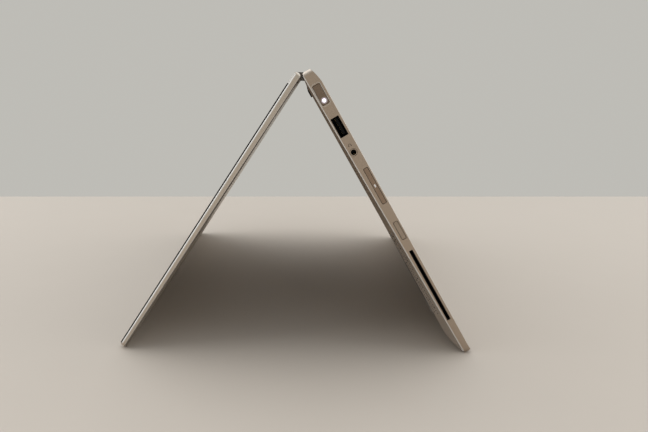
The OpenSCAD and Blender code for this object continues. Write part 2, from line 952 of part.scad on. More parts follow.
// Flat pipe from the processor to the fins behind the two fans
module heat_pipe() {
    pipe_x = sink_in + pipe_w;
    color("peru")
        in_base() {
            translate([0, 0, pipe_z])
                linear_extrude(pipe_t) {
                    rounded(-pipe_x, processor_y - pipe_w / 2, pipe_x, processor_y + pipe_w / 2,
                        pipe_corner, pipe_corner);
                    for (side = [-1, 1])
                        translate([side * (sink_in + pipe_w / 2), 0])
                            rounded(-pipe_w / 2, sink_rear, pipe_w / 2,
                                processor_y, pipe_corner, pipe_corner);
                }
            both_sides() {
                block([sink_in, sink_rear, pipe_z], [sink_out, sink_front, pipe_z + pipe_t]);
                for (x = [sink_in:fin_pitch:sink_out - fin_t])
                    block([x, sink_rear, sink_z], [x + fin_t, sink_front, sink_top]);
            }
        }
}

module fan_housing(side) {
    color("black")
        in_base()
            translate([side * fan_x, fan_y, fan_z]) {
                difference() {
                    translate([-fan_w / 2, -fan_w / 2, -fan_t / 2])
                        cube([fan_w, fan_w, fan_t]);
                    cylinder(r = rotor_r + bracket_air, h = fan_t - 2 * fan_wall, center = true);
                    translate([-rotor_r - bracket_air, -fan_w, -fan_t / 2 + fan_wall])
                        cube([2 * (rotor_r + bracket_air), fan_w, fan_t - 2 * fan_wall]);
                    translate([0, 0, -fan_t])
                        cylinder(r = intake_r, h = fan_t);
                }
                translate([0, 0, fan_t / 2 - fan_wall - spindle_h])
                    cylinder(r = spindle_r, h = spindle_h + eps);
            }
}

module fan_housing_left() {
    fan_housing(1);
}

module fan_housing_right() {
    fan_housing(-1);
}

// A blade's outline: a thin strip along an arc that leans back from the hub
module blade_outline() {
    root = hub_r - rim;
    chord = rotor_r - root - 1;
    half_turn = asin(chord / (2 * blade_r));
    translate([root, 0])
        rotate(blade_lean)
            translate([chord / 2, -blade_r * cos(half_turn)])
                polygon(concat(
                    arc(0, 0, blade_r + blade_t / 2, 90 + half_turn, 90 - half_turn, 4),
                    arc(0, 0, blade_r - blade_t / 2, 90 - half_turn, 90 + half_turn, 4)
                ));
}

module fan_rotor(side) {
    blade_h = fan_t - 2 * fan_wall - 2 * air;
    color("dimgray")
        in_base()
            translate([side * fan_x, fan_y, fan_z - blade_h / 2])
                difference() {
                    union() {
                        cylinder(r = hub_r, h = blade_h);
                        translate([0, 0, air])
                            linear_extrude(blade_h - 2 * air)
                                for (k = [0:fan_blades - 1])
                                    rotate(k * 360 / fan_blades)
                                        mirror([0, side < 0 ? 1 : 0])
                                            blade_outline();
                    }
                    translate([0, 0, blade_h - spindle_h])
                        cylinder(r = spindle_r + seat, h = spindle_h + 1);
                }
}

module fan_rotor_left() {
    fan_rotor(1);
}

module fan_rotor_right() {
    fan_rotor(-1);
}

// Flat cells side by side, joined by their lead strip
module battery() {
    cell_w = (battery_w - (battery_cells - 1) * battery_gap) / battery_cells;
    color("darkslategray")
        in_base() {
            for (k = [0:battery_cells - 1])
                translate([-battery_w / 2 + k * (cell_w + battery_gap), 0, 0])
                    block([0, battery_rear + battery_lead, cell_z],
                        [cell_w, battery_front, battery_z]);
            block([-battery_w / 2, battery_rear, cell_z],
                [battery_w / 2, battery_rear + battery_lead + eps, battery_z - 1]);
        }
}

// A card that lies in a socket under the board, with two chips on it
module card_on_board(x, y, w, d) {
    card_z = board_z - board_t - card_drop;
    chip_w = (w - socket_w - 3 * chip_gap) / 2;
    in_base() {
        block([x, y, card_z], [x + w, y + d, card_z + card_t]);
        block([x + w - socket_w, y, card_z + card_t - eps],
            [x + w, y + d, board_z - board_t - seat]);
        for (k = [0, 1])
            translate([x + chip_gap + k * (chip_w + chip_gap), y + chip_gap, card_z - chip_t])
                cube([chip_w, d - 2 * chip_gap, chip_t + eps]);
    }
}

module ssd() {
    color("seagreen")
        card_on_board(card_margin_x - board_wide, cards_y, ssd_size[0], ssd_size[1]);
}

module wireless_card() {
    color("teal")
        card_on_board(board_wide - wireless_x, cards_y, wireless_size[0], wireless_size[1]);
}

// A flat speaker box beside the battery, standing on two rubber pads
module speaker(side) {
    top_z = -reader_drop - card_h / 2 - reader_wall - 2 * air;
    y1 = sweep_y - speaker_back;
    y0 = y1 - speaker_len;
    x1 = half_w - speaker_in;
    x0 = x1 - speaker_w;
    pad_x = x0 + (speaker_w - speaker_pad_w) / 2;
    color("black")
        in_base()
            mirror([side < 0 ? 1 : 0, 0, 0]) {
                block([x0, y0, floor_z + wall_air], [x1, y1, top_z]);
                for (y = [y0 - speaker_pad_w / 2, y1 - speaker_pad_w / 2])
                    block([pad_x, y, floor_z + wall_air],
                        [pad_x + speaker_pad_w, y + speaker_pad_w,
                            floor_z + wall_air + speaker_pad_t]);
            }
}

module speaker_left() {
    speaker(1);
}

module speaker_right() {
    speaker(-1);
}

// ---- Buttons and ports ----

// A side button: its cap through the wall, and a flange behind the wall
module side_button(y, z, length, height, r) {
    stop = half_w - wall_t - flange_gap;
    side_slot(y, z, length, height, r, stop - eps, button_face);
    side_slot(y, z, length + 2 * button_flange, height, r, stop - button_wall, stop);
}

// The place of the light in the power button
module light_seat() {
    translate([button_face - light_depth, from_end(light_at), -power_drop])
        rotate([0, 90, 0])
            children();
}

module power_button() {
    color("saddlebrown")
        in_base()
            difference() {
                side_button(from_end(power_at), -power_drop, power_len, power_h, power_corner);
                light_seat()
                    cylinder(r = light_r + run_gap, h = 2 * light_depth);
            }
}

module power_light() {
    color("white")
        in_base()
            light_seat()
                cylinder(r = light_r, h = light_depth - eps);
}

// A long rocker with a small raised nub at its middle
module volume_rocker() {
    color("saddlebrown")
        in_base() {
            side_button(from_end(rocker_at), -slot_drop, rocker_len, rocker_h, rocker_r);
            side_slot(from_end(rocker_at), -slot_drop, nub_len, nub_h, nub_h * nub_round,
                button_face - eps, half_w);
        }
}

module home_button() {
    color("saddlebrown")
        in_base()
            side_button(from_end(home_at), -slot_drop, home_len, rocker_h, rocker_r);
}

// Small switch boards behind the side buttons
module side_button_boards() {
    back = half_w - wall_t - flange_gap - button_wall - button_push - air;
    color("darkgreen")
        in_base()
            for (run = [[power_at - power_len / 2, power_at + power_len / 2],
                    [rocker_at - rocker_len / 2, home_at + home_len / 2]])
                block([back - button_board_t, from_end(run[0]), -port_drop - rocker_h / 2],
                    [back, from_end(run[1]), reader_top - air]);
}

module port_board(y0, y1) {
    block([half_w - port_board_in, y0, port_board_z - port_board_t],
        [half_w - wall_t - port_board_out, y1, port_board_z]);
}

module left_port_board() {
    color("darkgreen")
        in_base()
            port_board(from_end(port_at - usb_w / 2 - board_lap),
                from_end(jack_at + jack_body[1] / 2 + board_lap));
}

module right_port_board() {
    color("darkgreen")
        in_base()
            mirror([1, 0, 0])
                port_board(from_end(video_at - video_size[1] / 2 - board_lap),
                    from_end(right_port_at + right_port_step + usb_w / 2 + board_lap));
}

// A port shell of outer size (deep, w, h) with a tongue; its mouth faces +X.
module port_shell(y, size, tongue_t, tongue_rise) {
    back = port_mouth - size[0];
    w = size[1] / 2;
    h = size[2] / 2;
    tongue_w = size[1] * tongue_share;
    translate([0, y, -port_drop]) {
        difference() {
            block([back, -w, -h], [port_mouth, w, h]);
            block([back + port_back, port_wall - w, port_wall - h],
                [port_mouth + 1, w - port_wall, h - port_wall]);
        }
        block([back + port_back - eps, -tongue_w, tongue_rise - tongue_t / 2],
            [port_mouth - tongue_sink, tongue_w, tongue_rise + tongue_t / 2]);
    }
}

module usb_port(e) {
    port_shell(from_end(e), [usb_d, usb_w, usb_h], usb_tongue, usb_tongue_rise);
}

module left_usb_port() {
    color("black")
        in_base()
            usb_port(port_at);
}

module right_usb_port_rear() {
    color("black")
        in_base()
            mirror([1, 0, 0])
                usb_port(right_port_at);
}

module right_usb_port_front() {
    color("black")
        in_base()
            mirror([1, 0, 0])
                usb_port(right_port_at + right_port_step);
}

module audio_socket() {
    back = port_mouth - jack_body[0];
    inner = half_w - wall_t - wall_air;
    color("black")
        in_base()
            translate([0, from_end(jack_at), -port_drop])
                difference() {
                    union() {
                        block([back, -jack_body[1] / 2, -jack_body[2] / 2],
                            [inner, jack_body[1] / 2, jack_body[2] / 2]);
                        translate([inner - seat, 0, 0])
                            rotate([0, 90, 0])
                                cylinder(r = jack_r + collar, h = port_mouth - inner + seat);
                    }
                    translate([back + collar, 0, 0])
                        rotate([0, 90, 0])
                            cylinder(r = jack_r, h = jack_body[0]);
                }
}

module card_reader() {
    y = from_end(card_at);
    z = -reader_drop;
    inner = half_w - wall_t - wall_air;
    hollow_h = card_h / 2 - wall_air;
    color("black")
        in_base()
            difference() {
                union() {
                    block([reader_in, y - card_len / 2 - reader_side,
                            z - card_h / 2 - reader_wall],
                        [inner, y + card_len / 2 + reader_side,
                            min(z + card_h / 2 + reader_wall, reader_top)]);
                    side_slot(y, z, card_len + reader_mouth, card_h + reader_lip,
                        port_corner, inner - eps, port_mouth);
                }
                block([reader_in + reader_end_t, y - card_len / 2, z - hollow_h],
                    [half_w + 1, y + card_len / 2, z + hollow_h]);
            }
}

module wide_video_port() {
    color("black")
        in_base()
            mirror([1, 0, 0])
                port_shell(from_end(video_at), video_size, video_tongue, video_tongue_rise);
}

module mini_video_port() {
    color("black")
        in_base()
            mirror([1, 0, 0])
                port_shell(from_end(mini_video_at), mini_video_size, video_tongue,
                    video_tongue_rise);
}

module power_inlet() {
    back = port_mouth - inlet_body[0];
    inner = half_w - wall_t - wall_air;
    color("black")
        in_base()
            mirror([1, 0, 0])
                translate([0, from_end(inlet_at), -port_drop]) {
                    difference() {
                        union() {
                            block([back, -inlet_body[1] / 2, -inlet_body[2] / 2 - air],
                                [inner, inlet_body[1] / 2, port_drop - deck_t - rim]);
                            translate([inner - seat, 0, 0])
                                rotate([0, 90, 0])
                                    cylinder(r = inlet_r + inlet_collar,
                                        h = port_mouth - inner + seat);
                        }
                        translate([back + port_back, 0, 0])
                            rotate([0, 90, 0])
                                cylinder(r = inlet_r, h = inlet_body[0]);
                    }
                    translate([back + port_back - eps, 0, 0])
                        rotate([0, 90, 0])
                            cylinder(r = inlet_pin_r, h = inlet_body[0] - 3 * port_back);
                }
}

// ---- Underside ----

module foot(y) {
    color([0.15, 0.14, 0.13])
        in_base()
            translate([0, y, -base_t - foot_h])
                linear_extrude(foot_h)
                    rounded(-foot_len / 2, -foot_w / 2, foot_len / 2, foot_w / 2,
                        foot_end_r, foot_end_r);
}

module rear_foot() {
    foot(low_sweep_y + foot_w / 2 + wall_air);
}

module front_foot() {
    foot(sweep_y - foot_w / 2 - foot_back);
}

module bottom_screws() {
    color("gray")
        in_base()
            for (at = posts)
                translate([at[0], at[1], -base_t + screw_sink + air - screw_head_h - eps])
                    difference() {
                        union() {
                            cylinder(r = screw_head_r, h = screw_head_h);
                            cylinder(r = screw_shank_r,
                                h = base_t - deck_t - post_solid - screw_sink - 1);
                        }
                        translate([0, 0, -1])
                            cylinder(r = drive_r, h = 1 + screw_head_h / 2, $fn = 6);
                    }
}

// ---- Hinge ----

// A steel leaf with its shaft, along +X; the gear sits on the shaft's stepped end.
module hinge_leaf(z) {
    difference() {
        union() {
            translate([leaf_in, 0, z])
                rotate([0, 90, 0])
                    cylinder(r = shaft_r, h = chamber_in - leaf_in);
            translate([chamber_in - eps, 0, z])
                rotate([0, 90, 0])
                    cylinder(r = shaft_tip_r, h = gear_out - chamber_in + seat);
            block([leaf_in, 0, z - leaf_t / 2], [leaf_out, leaf_len, z + leaf_t / 2]);
        }
        for (x = leaf_holes)
            translate([x, leaf_hole_y, z - leaf_t])
                cylinder(r = leaf_screw_r + seat, h = 2 * leaf_t);
    }
}

module leaf_screws(z) {
    both_sides()
        for (x = leaf_holes)
            translate([x, leaf_hole_y, z - leaf_t / 2 - leaf_head_h]) {
                cylinder(r = leaf_head_r, h = leaf_head_h);
                cylinder(r = leaf_screw_r, h = leaf_head_h + leaf_t);
            }
}

module base_hinge_left() {
    color("lightsteelblue")
        in_base()
            hinge_leaf(-shaft_drop);
}

module base_hinge_right() {
    color("lightsteelblue")
        in_base()
            mirror([1, 0, 0])
                hinge_leaf(-shaft_drop);
}

module base_hinge_screws() {
    color("gray")
        in_base()
            leaf_screws(-shaft_drop);
}

// Half a tooth's angle at radius r, from the involute of the base circle
function involute(r) =
    let (t = sqrt(max(0, pow(r / gear_base_r, 2) - 1)))
        t * 180 / PI - atan(t);

function half_tooth(r) =
    90 / gear_teeth - gear_backlash / gear_pitch_r * 90 / PI
        + involute(gear_pitch_r) - involute(r);

module gear_outline() {
    flank = [for (k = [0:3]) gear_base_r + (gear_tip_r - gear_base_r) * k / 3];
    tooth = concat(
        [[-1, gear_root_r]],
        [for (r = flank) [-1, r]],
        [for (k = [3:-1:0]) [1, flank[k]]],
        [[1, gear_root_r]]
    );
    polygon([
        for (t = [0:gear_teeth - 1])
            for (p = tooth)
                let (a = t * 360 / gear_teeth + p[0] * half_tooth(max(p[1], gear_base_r)))
                    p[1] * [cos(a), sin(a)]
    ]);
}

// A gear round its own axis along X, with a tooth or a gap toward the next gear
module hinge_gear(tooth_ahead, bore) {
    turn = tooth_ahead || gear_teeth % 2 == 1 ? 0 : 180 / gear_teeth;
    along_x(gear_in, gear_out)
        difference() {
            rotate(turn)
                gear_outline();
            circle(r = bore);
        }
}

module gear_pair(place, tooth_ahead, bore) {
    color("goldenrod")
        in_link()
            both_sides()
                translate([0, place * shaft_gap / 3, 0])
                    hinge_gear(tooth_ahead, bore);
}

module base_hinge_gears() {
    gear_pair(0, true, shaft_tip_r + run_gap);
}

module idler_gears_base_side() {
    gear_pair(1, false, idler_pin_r + run_gap);
}

module idler_gears_lid_side() {
    gear_pair(2, true, idler_pin_r + run_gap);
}

module lid_hinge_gears() {
    gear_pair(3, false, shaft_tip_r + run_gap);
}

module stadium(r) {
    circle(r = r);
    translate([0, -r])
        square([shaft_gap, 2 * r]);
    translate([shaft_gap, 0])
        circle(r = r);
}

module link_body() {
    along_x(link_in, chamber_in)
        difference() {
            stadium(link_r);
            for (k = [0, 1])
                translate([k * shaft_gap, 0])
                    circle(r = shaft_r + run_gap);
        }
    along_x(chamber_in - eps, link_out - link_cap_t)
        difference() {
            stadium(link_r);
            stadium(chamber_r);
        }
    for (k = [1, 2])
        translate([chamber_in - eps, k * shaft_gap / 3, 0])
            rotate([0, 90, 0])
                cylinder(r = idler_pin_r, h = gear_out - chamber_in);
}

module hinge_link_left() {
    color("darkslategray")
        in_link()
            link_body();
}

module hinge_link_right() {
    color("darkslategray")
        in_link()
            mirror([1, 0, 0])
                link_body();
}

module hinge_link_caps() {
    color("darkslategray")
        in_link()
            both_sides()
                along_x(link_out - link_cap_t, link_out)
                    stadium(link_r);
}

// ---- Lid ----

// Lid frame: y from its shaft to the free edge, z toward the lid's back.
module lid_outline() {
    polygon(concat(
        arc(0, 0, lid_half, 270, 90),
        arc(lid_edge_y, lid_edge_z, lid_back_r, 90, 0),
        [[lid_len, -lid_half + gasket_h + edge_bevel],
            [lid_len - edge_bevel, -lid_half + gasket_h],
            [lid_bar, -lid_half + gasket_h],
            [lid_bar, -lid_half]]
    ));
}

module lid_section() {
    x1 = half_w;
    polygon([[-x1, far], [-x1, -lid_half + gasket_h + edge_bevel],
        [-x1 + edge_bevel, -lid_half + gasket_h], [-x1 + edge_bevel, -lid_half],
        [x1 - edge_bevel, -lid_half], [x1 - edge_bevel, -lid_half + gasket_h],
        [x1, -lid_half + gasket_h + edge_bevel], [x1, far]]);
}

// The space between the two slopes that thin the lid's back toward its sides
module lid_undercut_space() {
    run = lid_t / tan(undercut_angle);
    translate([0, 0, -lid_half + gasket_h + lid_side_rear])
        rotate([-lid_side_tilt, 0, 0])
            along_y(-far, lid_len + far)
                polygon([[-half_w, -far], [half_w, -far], [half_w, 0], [half_w - run, lid_t],
                    [run - half_w, lid_t], [-half_w, 0]]);
}

// Plan of the lid, inset all round
module lid_plan(inset, y0) {
    r = max(corner_front_r - inset, 1);
    rounded(inset - half_w, y0, half_w - inset, lid_len - inset, 1, r);
}

module lid_shell() {
    intersection() {
        along_x(-half_w, half_w)
            lid_outline();
        along_y(-far, lid_len + far)
            lid_section();
        lid_undercut_space();
        translate([0, 0, -far])
            linear_extrude(2 * far)
                rounded(-half_w, -lid_half - eps, half_w, lid_len,
                    corner_rear_r, corner_front_r);
    }
}

// Room for the lid's hinge shafts and leaves
module lid_leaf_room() {
    both_sides() {
        translate([leaf_in - air, 0, 0])
            rotate([0, 90, 0])
                cylinder(r = shaft_r + bore_gap, h = leaf_w + 1);
        block([leaf_in - air, 0, -leaf_t / 2 - air],
            [leaf_out + air, lid_pocket_y + 1, leaf_t / 2 + air]);
    }
}

module lid_bosses() {
    both_sides()
        for (x = leaf_holes)
            translate([x, leaf_hole_y, leaf_t / 2])
                cylinder(r = leaf_boss_r, h = lid_half - lid_back_t - leaf_t / 2 + eps);
}

module lid_cover() {
    color("silver")
        in_lid() {
            difference() {
                lid_shell();
                translate([0, 0, -far])
                    linear_extrude(far + lid_half - lid_back_t)
                        lid_plan(lid_rim_w, lid_pocket_y);
                link_notches_lid();
                lid_leaf_room();
            }
            lid_bosses();
        }
}

module link_notches_lid() {
    both_sides()
        block([link_in - link_gap, -lid_half - 1, -far],
            [link_out + link_gap, notch_y, far]);
}

module lid_hinge_left() {
    color("lightsteelblue")
        in_lid()
            hinge_leaf(0);
}

module lid_hinge_right() {
    color("lightsteelblue")
        in_lid()
            mirror([1, 0, 0])
                hinge_leaf(0);
}

module lid_hinge_screws() {
    color("gray")
        in_lid()
            leaf_screws(0);
}

module glass_gasket() {
    rear = lid_bar + air;
    color([0.08, 0.08, 0.08])
        in_lid()
            translate([0, 0, -lid_half])
                linear_extrude(gasket_h)
                    difference() {
                        lid_plan(gasket_inset, rear);
                        lid_plan(gasket_inset + gasket_w, rear + gasket_w);
                    }
}

module cover_glass() {
    color([0.05, 0.05, 0.06])
        in_lid()
            translate([0, 0, seat - lid_half])
                linear_extrude(glass_t)
                    lid_plan(gasket_inset + gasket_w + seat, lid_bar + air + gasket_w + seat);
}

module display_panel() {
    board_face = panel_face + 4 * seat;
    color("darkslategray")
        in_lid() {
            block([-panel_w / 2, panel_foot, panel_face],
                [panel_w / 2, panel_top, panel_face + panel_t]);
            block([-panel_board_w / 2, panel_foot - panel_board_d, board_face],
                [panel_board_w / 2, panel_foot + eps, board_face + panel_board_t]);
        }
}

// A strip in the border over the panel, from x0 to x1
module border_board(x0, x1) {
    block([x0, camera_y, panel_face + wall_air],
        [x1, camera_y + camera_d, panel_face + wall_air + camera_t]);
}

module camera_module() {
    color("black")
        in_lid() {
            border_board(-camera_w / 2, camera_w / 2);
            translate([0, camera_y + camera_d / 2, panel_face])
                cylinder(r = lens_r, h = lens_h);
        }
}

module microphones() {
    capsule_x = microphone_x + (microphone_w - capsule_w) / 2;
    capsule_y = camera_y + (camera_d - capsule_d) / 2;
    color("darkgreen")
        in_lid()
            both_sides() {
                border_board(microphone_x, microphone_x + microphone_w);
                block([capsule_x, capsule_y, panel_face],
                    [capsule_x + capsule_w, capsule_y + capsule_d, panel_face + wall_air + eps]);
            }
}

top_case();
bottom_cover();
keyboard_tray();
function_keys();
number_keys();
upper_letter_keys();
home_letter_keys();
lower_letter_keys();
bottom_keys();
space_bar();
trackpad();
trackpad_bracket();
mainboard();
heat_pipe();
fan_housing_left();
fan_housing_right();
fan_rotor_left();
fan_rotor_right();
battery();
ssd();
wireless_card();
speaker_left();
speaker_right();
power_button();
power_light();
volume_rocker();
home_button();
side_button_boards();
left_port_board();
right_port_board();
left_usb_port();
right_usb_port_rear();
right_usb_port_front();
audio_socket();
card_reader();
wide_video_port();
mini_video_port();
power_inlet();
rear_foot();
front_foot();
bottom_screws();
base_hinge_left();
base_hinge_right();
base_hinge_gears();
base_hinge_screws();
hinge_link_left();
hinge_link_right();
hinge_link_caps();
idler_gears_base_side();
idler_gears_lid_side();
lid_hinge_gears();
lid_hinge_left();
lid_hinge_right();
lid_hinge_screws();
lid_cover();
display_panel();
cover_glass();
glass_gasket();
camera_module();
microphones();
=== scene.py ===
"""Finishes and fine pieces for a thin folding laptop computer that stands like a tent."""
import json
import math

import bmesh
import bpy
from bpy.props import FloatProperty, FloatVectorProperty, PointerProperty
from mathutils import Matrix, Vector


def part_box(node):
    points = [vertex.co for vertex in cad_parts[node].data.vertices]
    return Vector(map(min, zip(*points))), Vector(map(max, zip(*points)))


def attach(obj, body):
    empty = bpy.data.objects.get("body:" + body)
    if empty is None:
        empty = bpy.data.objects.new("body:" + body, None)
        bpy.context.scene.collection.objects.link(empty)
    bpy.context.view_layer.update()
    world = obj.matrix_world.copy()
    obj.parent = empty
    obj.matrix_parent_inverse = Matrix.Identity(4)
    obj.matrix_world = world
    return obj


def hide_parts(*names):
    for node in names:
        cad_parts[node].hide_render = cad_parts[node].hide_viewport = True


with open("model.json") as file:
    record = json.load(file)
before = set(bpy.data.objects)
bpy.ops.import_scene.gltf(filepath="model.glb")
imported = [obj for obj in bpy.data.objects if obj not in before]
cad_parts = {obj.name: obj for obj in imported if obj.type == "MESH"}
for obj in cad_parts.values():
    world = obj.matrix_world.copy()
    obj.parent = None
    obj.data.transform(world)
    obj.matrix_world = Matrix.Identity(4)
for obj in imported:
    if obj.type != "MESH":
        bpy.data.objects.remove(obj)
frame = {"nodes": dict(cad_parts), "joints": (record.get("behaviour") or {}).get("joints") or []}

bl_info = {
    "name": "Folding Laptop Finishes",
    "version": (1, 0, 0),
    "blender": (4, 5, 0),
    "location": "3D View > Sidebar > Laptop",
    "description": "Key caps, sockets, glass details and surface finishes for a folding laptop",
    "category": "Object",
}

MM = 0.001

# The two legs: the base and the lid, in the scene's frame
JOINTS = {joint["name"]: joint for joint in frame["joints"]}
BASE_SHAFT = Vector(JOINTS["base_link_hinge"]["pos_m"])
LID_SHAFT = Vector(JOINTS["link_lid_hinge"]["pos_m"])
DECK_NORMAL = -Vector(JOINTS["space_bar_press"]["axis"])
BASE_LEAN = math.asin(DECK_NORMAL.z)
TENT_ANGLE = math.radians(63.3)
LID_LEAN = TENT_ANGLE - BASE_LEAN
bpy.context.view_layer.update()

# The laptop's sizes from here on are in mm. The base's shaft lies SHAFT_DROP below the deck
SHAFT_DROP = 5.5
HALF_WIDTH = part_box("top_case")[1].x / MM
# From a flat drawing to the base's left side face, in the base frame
SIDE_FACE = Matrix(((0, 0, 1, HALF_WIDTH), (1, 0, 0, 0), (0, 1, 0, 0), (0, 0, 0, 1)))
# A distance from the shaft that parts the near end of a shell's crease from its far end
CREASE_SPLIT = 100
# Slope of the undercut below the base's side face, from level
UNDERCUT = math.radians(35)

# Bands of the shells' finish, each as its reach and the width over which it fades. From the
# side: the polished bevels, the hinge end's painted highlight, the base's undercut with
# painted bounce light, and the lid's undercut with painted shade
BASE_BEVEL, LID_BEVEL = (0.4, 0.05), (0.42, 0.06)
HINGE_END_HIGHLIGHT_SIDE, UNDERCUT_SIDE, SHADE_SIDE = (4, 3), (11, 4), (3, 1)
# From the crease: its polished line, partly a painted highlight, and where the undercut starts
BASE_CREASE, LID_CREASE = (0.36, 0.1), (0.16, 0.1)
BASE_UNDERCUT, LID_UNDERCUT = (-0.4, 0.2), (0.1, 0.2)
# From the hinge end: the polished corner and the pale end wall, both a painted highlight
CORNER_FADE = 0.1
BASE_CORNER_HIGHLIGHT, LID_CORNER_HIGHLIGHT = 0.8, 0.9
BASE_END_HIGHLIGHT, LID_END_HIGHLIGHT = (2, 1), (1, 0.5)
# From the deck and from the lid's shaft: the polished rim. From the lid's free edge: its rim
RIM_FADE = 0.06
BASE_RIM, LID_RIM, LID_EDGE = -0.3, -0.75, 0.4
# Along the base: where painted light bounced from the floor makes its undercut paler
BOUNCE_FRONT = (155, 110)
# How much of the polish shows on the creases, the base's rim and the end walls, and how much
# painted bounce light on the undercut. The creases' polish is partly, the end walls' wholly,
# painted highlight
BASE_CREASE_HIGHLIGHT, LID_CREASE_HIGHLIGHT, RIM_SHINE, END_HIGHLIGHT_SHARE, BOUNCE_SHINE = 0.8, 0.5, 0.45, 0.3, 0.22
# From the trackpad's rim: its polished border. From the side face: a button's nub, brightened
# as a painted highlight
PAD_BORDER, NUB_HIGHLIGHT = (0.45, 0.08), (-0.05, 0.04)

# The speaker holes: the first one's distance from the hinge end, their pitch, and how many
# stand in a row. Of each row: its share of the undercut's height, and its shift in pitches
GRILLE_AT, GRILLE_PITCH, GRILLE_COUNT = 117, 2.4, 28
GRILLE_ROWS = ((0.5, 0.5), (0.8, 0.0))
# Outlines of the rims, as reach past the button's edge or radius, and height
BUTTON_RIM = ((0.16, -0.3), (0.18, -0.05), (0.34, 0.02), (0.42, 0.0))
BUTTON_RIM_CORNER = 1.2
HOLE_RIM = ((0.55, -0.12), (0.56, 0.02), (0.64, 0.03), (0.74, 0.0))
AUDIO_RING = ((2.3, 0.0), (2.25, 0.12), (2.05, 0.16), (1.85, 0.1), (1.8, 0.0), (1.78, -0.3))

# The headphone mark: its distance from the socket's middle, the radii of its band and the
# band's angles in degrees, how many faces make the band, and the box and corner of an ear pad
MARK_AWAY = 5.1
BAND_RADII = (0.72, 1.0)
BAND_START, BAND_TURN, BAND_STEPS = -10, 200, 12
PAD_AT, PAD_BACK, PAD_FRONT, PAD_HALF, PAD_CORNER = 0.8, 0.15, 0.8, 0.27, 0.15
# How far print stands off the metal
PRINT_UP = 0.01

# Of each port: its tongue's thickness, the tongue's height over the port's middle, and its
# number of contacts. A tongue takes TONGUE_SHARE of the port's width. Its black cover starts
# TONGUE_BACK behind the port's mouth and is TONGUE_SKIN wider and thicker than the tongue. The
# contacts lie below it
USB_TONGUE = (1.8, 0.6, 4)
TONGUES = {"left_usb_port": USB_TONGUE, "right_usb_port_rear": USB_TONGUE,
           "right_usb_port_front": USB_TONGUE, "wide_video_port": (0.8, 0.3, 10),
           "mini_video_port": (0.8, 0.3, 7)}
TONGUE_BACK, TONGUE_LENGTH, TONGUE_SHARE, TONGUE_SKIN = 2.9, 8.2, 0.84, 0.12
CONTACT_BACK, CONTACT_LENGTH, CONTACT_DROP, CONTACT_THICK = 0.3, 6.0, 0.1, 0.12
# The share of the tongue's width that the contacts take, and of their pitch that each takes
CONTACTS_SHARE, CONTACT_SHARE = 0.82, 0.45
# The audio socket: where its black bore ends, and the spring in it, from its mouth's middle
BORE_RADIUS = 1.95
SPRING_AT, SPRING_SIZE = Vector((-7, 1.5, 0)), (4.0, 0.25, 0.8)

# The camera's ring and lens, as (radius, depth). A depth below 0 stands out of the glass
CAMERA_RING = ((2.35, 0.0), (2.35, -0.035), (2.1, -0.05), (1.72, -0.05), (1.62, -0.02),
               (1.62, 0.0))
CAMERA_LENS = ((1.6, -0.012), (1.25, -0.03), (0.8, -0.042), (0.35, -0.048))
# The lens's coating and its pupil, as bands of the squared distance from the lens's middle
LENS_COATING, LENS_PUPIL = (1.5, 0.25), (0.35, 0.08)
# X and radius of the camera's light and of the two microphone holes
BORDER_DOTS = ((5.2, 0.45), (37.8, 0.4), (-37.8, 0.4))
# Dark borders of the picture, at the sides and the top and at the hinge, and how wide they fade
PICTURE_BORDER, PICTURE_CHIN, PICTURE_FADE = 2.5, 9, 0.2

# The power light's core, and the glow painted on the button round it, as bands of the squared
# distance from the light's middle
LIGHT_CORE, PAINTED_GLOW_REACH = (0.75, 0.5), (3.3, 5.2)

# Key tops: how steeply a dish falls from the rim, where its rings lie between rim and middle,
# how wide the middle is left, how much rounder its corners are than the key's, and the rounding
# steps of the upper edge
DISH_FALL = 1.6
DISH_RINGS = (0.18, 0.36, 0.55, 0.75, 0.95)
DISH_MIDDLE, DISH_CORNER = 0.4, 1.6
EDGE_STEPS = 3
# The bevel of a small bar, as a share of its least size
BAR_BEVEL = 0.35
# Print on the keys: how far it stands off, how much its strokes are thickened for its size,
# and the size of two signs on a key against words
PRINT_OFF = 0.02
STROKE = 0.022
PAIR_SIZE = 1.15
# A word of so many letters, on a key longer than this, goes to its outer end, this far from it
WORD_LENGTH, LONG_KEY, WORD_MARGIN = 4, 20, 1.6
ARROW = ((-1.1, 0.0), (0.75, 0.95), (0.75, -0.95))
ARROW_TURNS = {"LEFT": 0, "UP": 90, "RIGHT": 180, "DOWN": 270}
# The ridge on the home keys: its size, its place along the key, and how deep its middle lies
HOME_RIDGE = (3.2, 0.5, 0.18)
RIDGE_ALONG, RIDGE_SINK = 0.78, 0.06

# Which way the two lamps shine from, the camera's sensor width, and the nearest that it sees
WINDOW_FROM = Vector((-0.45, -1.0, 0.8))
FILL_FROM = Vector((-0.5, 0.9, 0.9))
SENSOR, NEAREST = 36, 0.01

# The colour sockets of a Mix node share their names with others, so they go by number
MIX_LOW, MIX_HIGH, MIX_RESULT = 6, 7, 2

ROW_LABELS = {
    "function_keys": ["esc"] + [f"f{n}" for n in range(1, 13)] + ["prt", "ins", "del"],
    "number_keys": ["~\n`", "!\n1", "@\n2", "#\n3", "$\n4", "%\n5", "^\n6", "&\n7", "*\n8",
                    "(\n9", ")\n0", "_\n-", "+\n=", "backspace"],
    "upper_letter_keys": ["tab", *"QWERTYUIOP", "{\n[", "}\n]", "|\n\\"],
    "home_letter_keys": ["caps lock", *"ASDFGHJKL", ":\n;", "\"\n'", "enter"],
    "lower_letter_keys": ["shift", *"ZXCVBNM", "<\n,", ">\n.", "?\n/", "shift"],
    "bottom_keys": ["ctrl", "fn", "", "alt", "alt", "ctrl", "LEFT", "UP", "DOWN", "RIGHT"],
    "space_bar": [""],
}
HOME_MARKS = ("F", "J")


# ---- Sizes and colours that a user may change ----

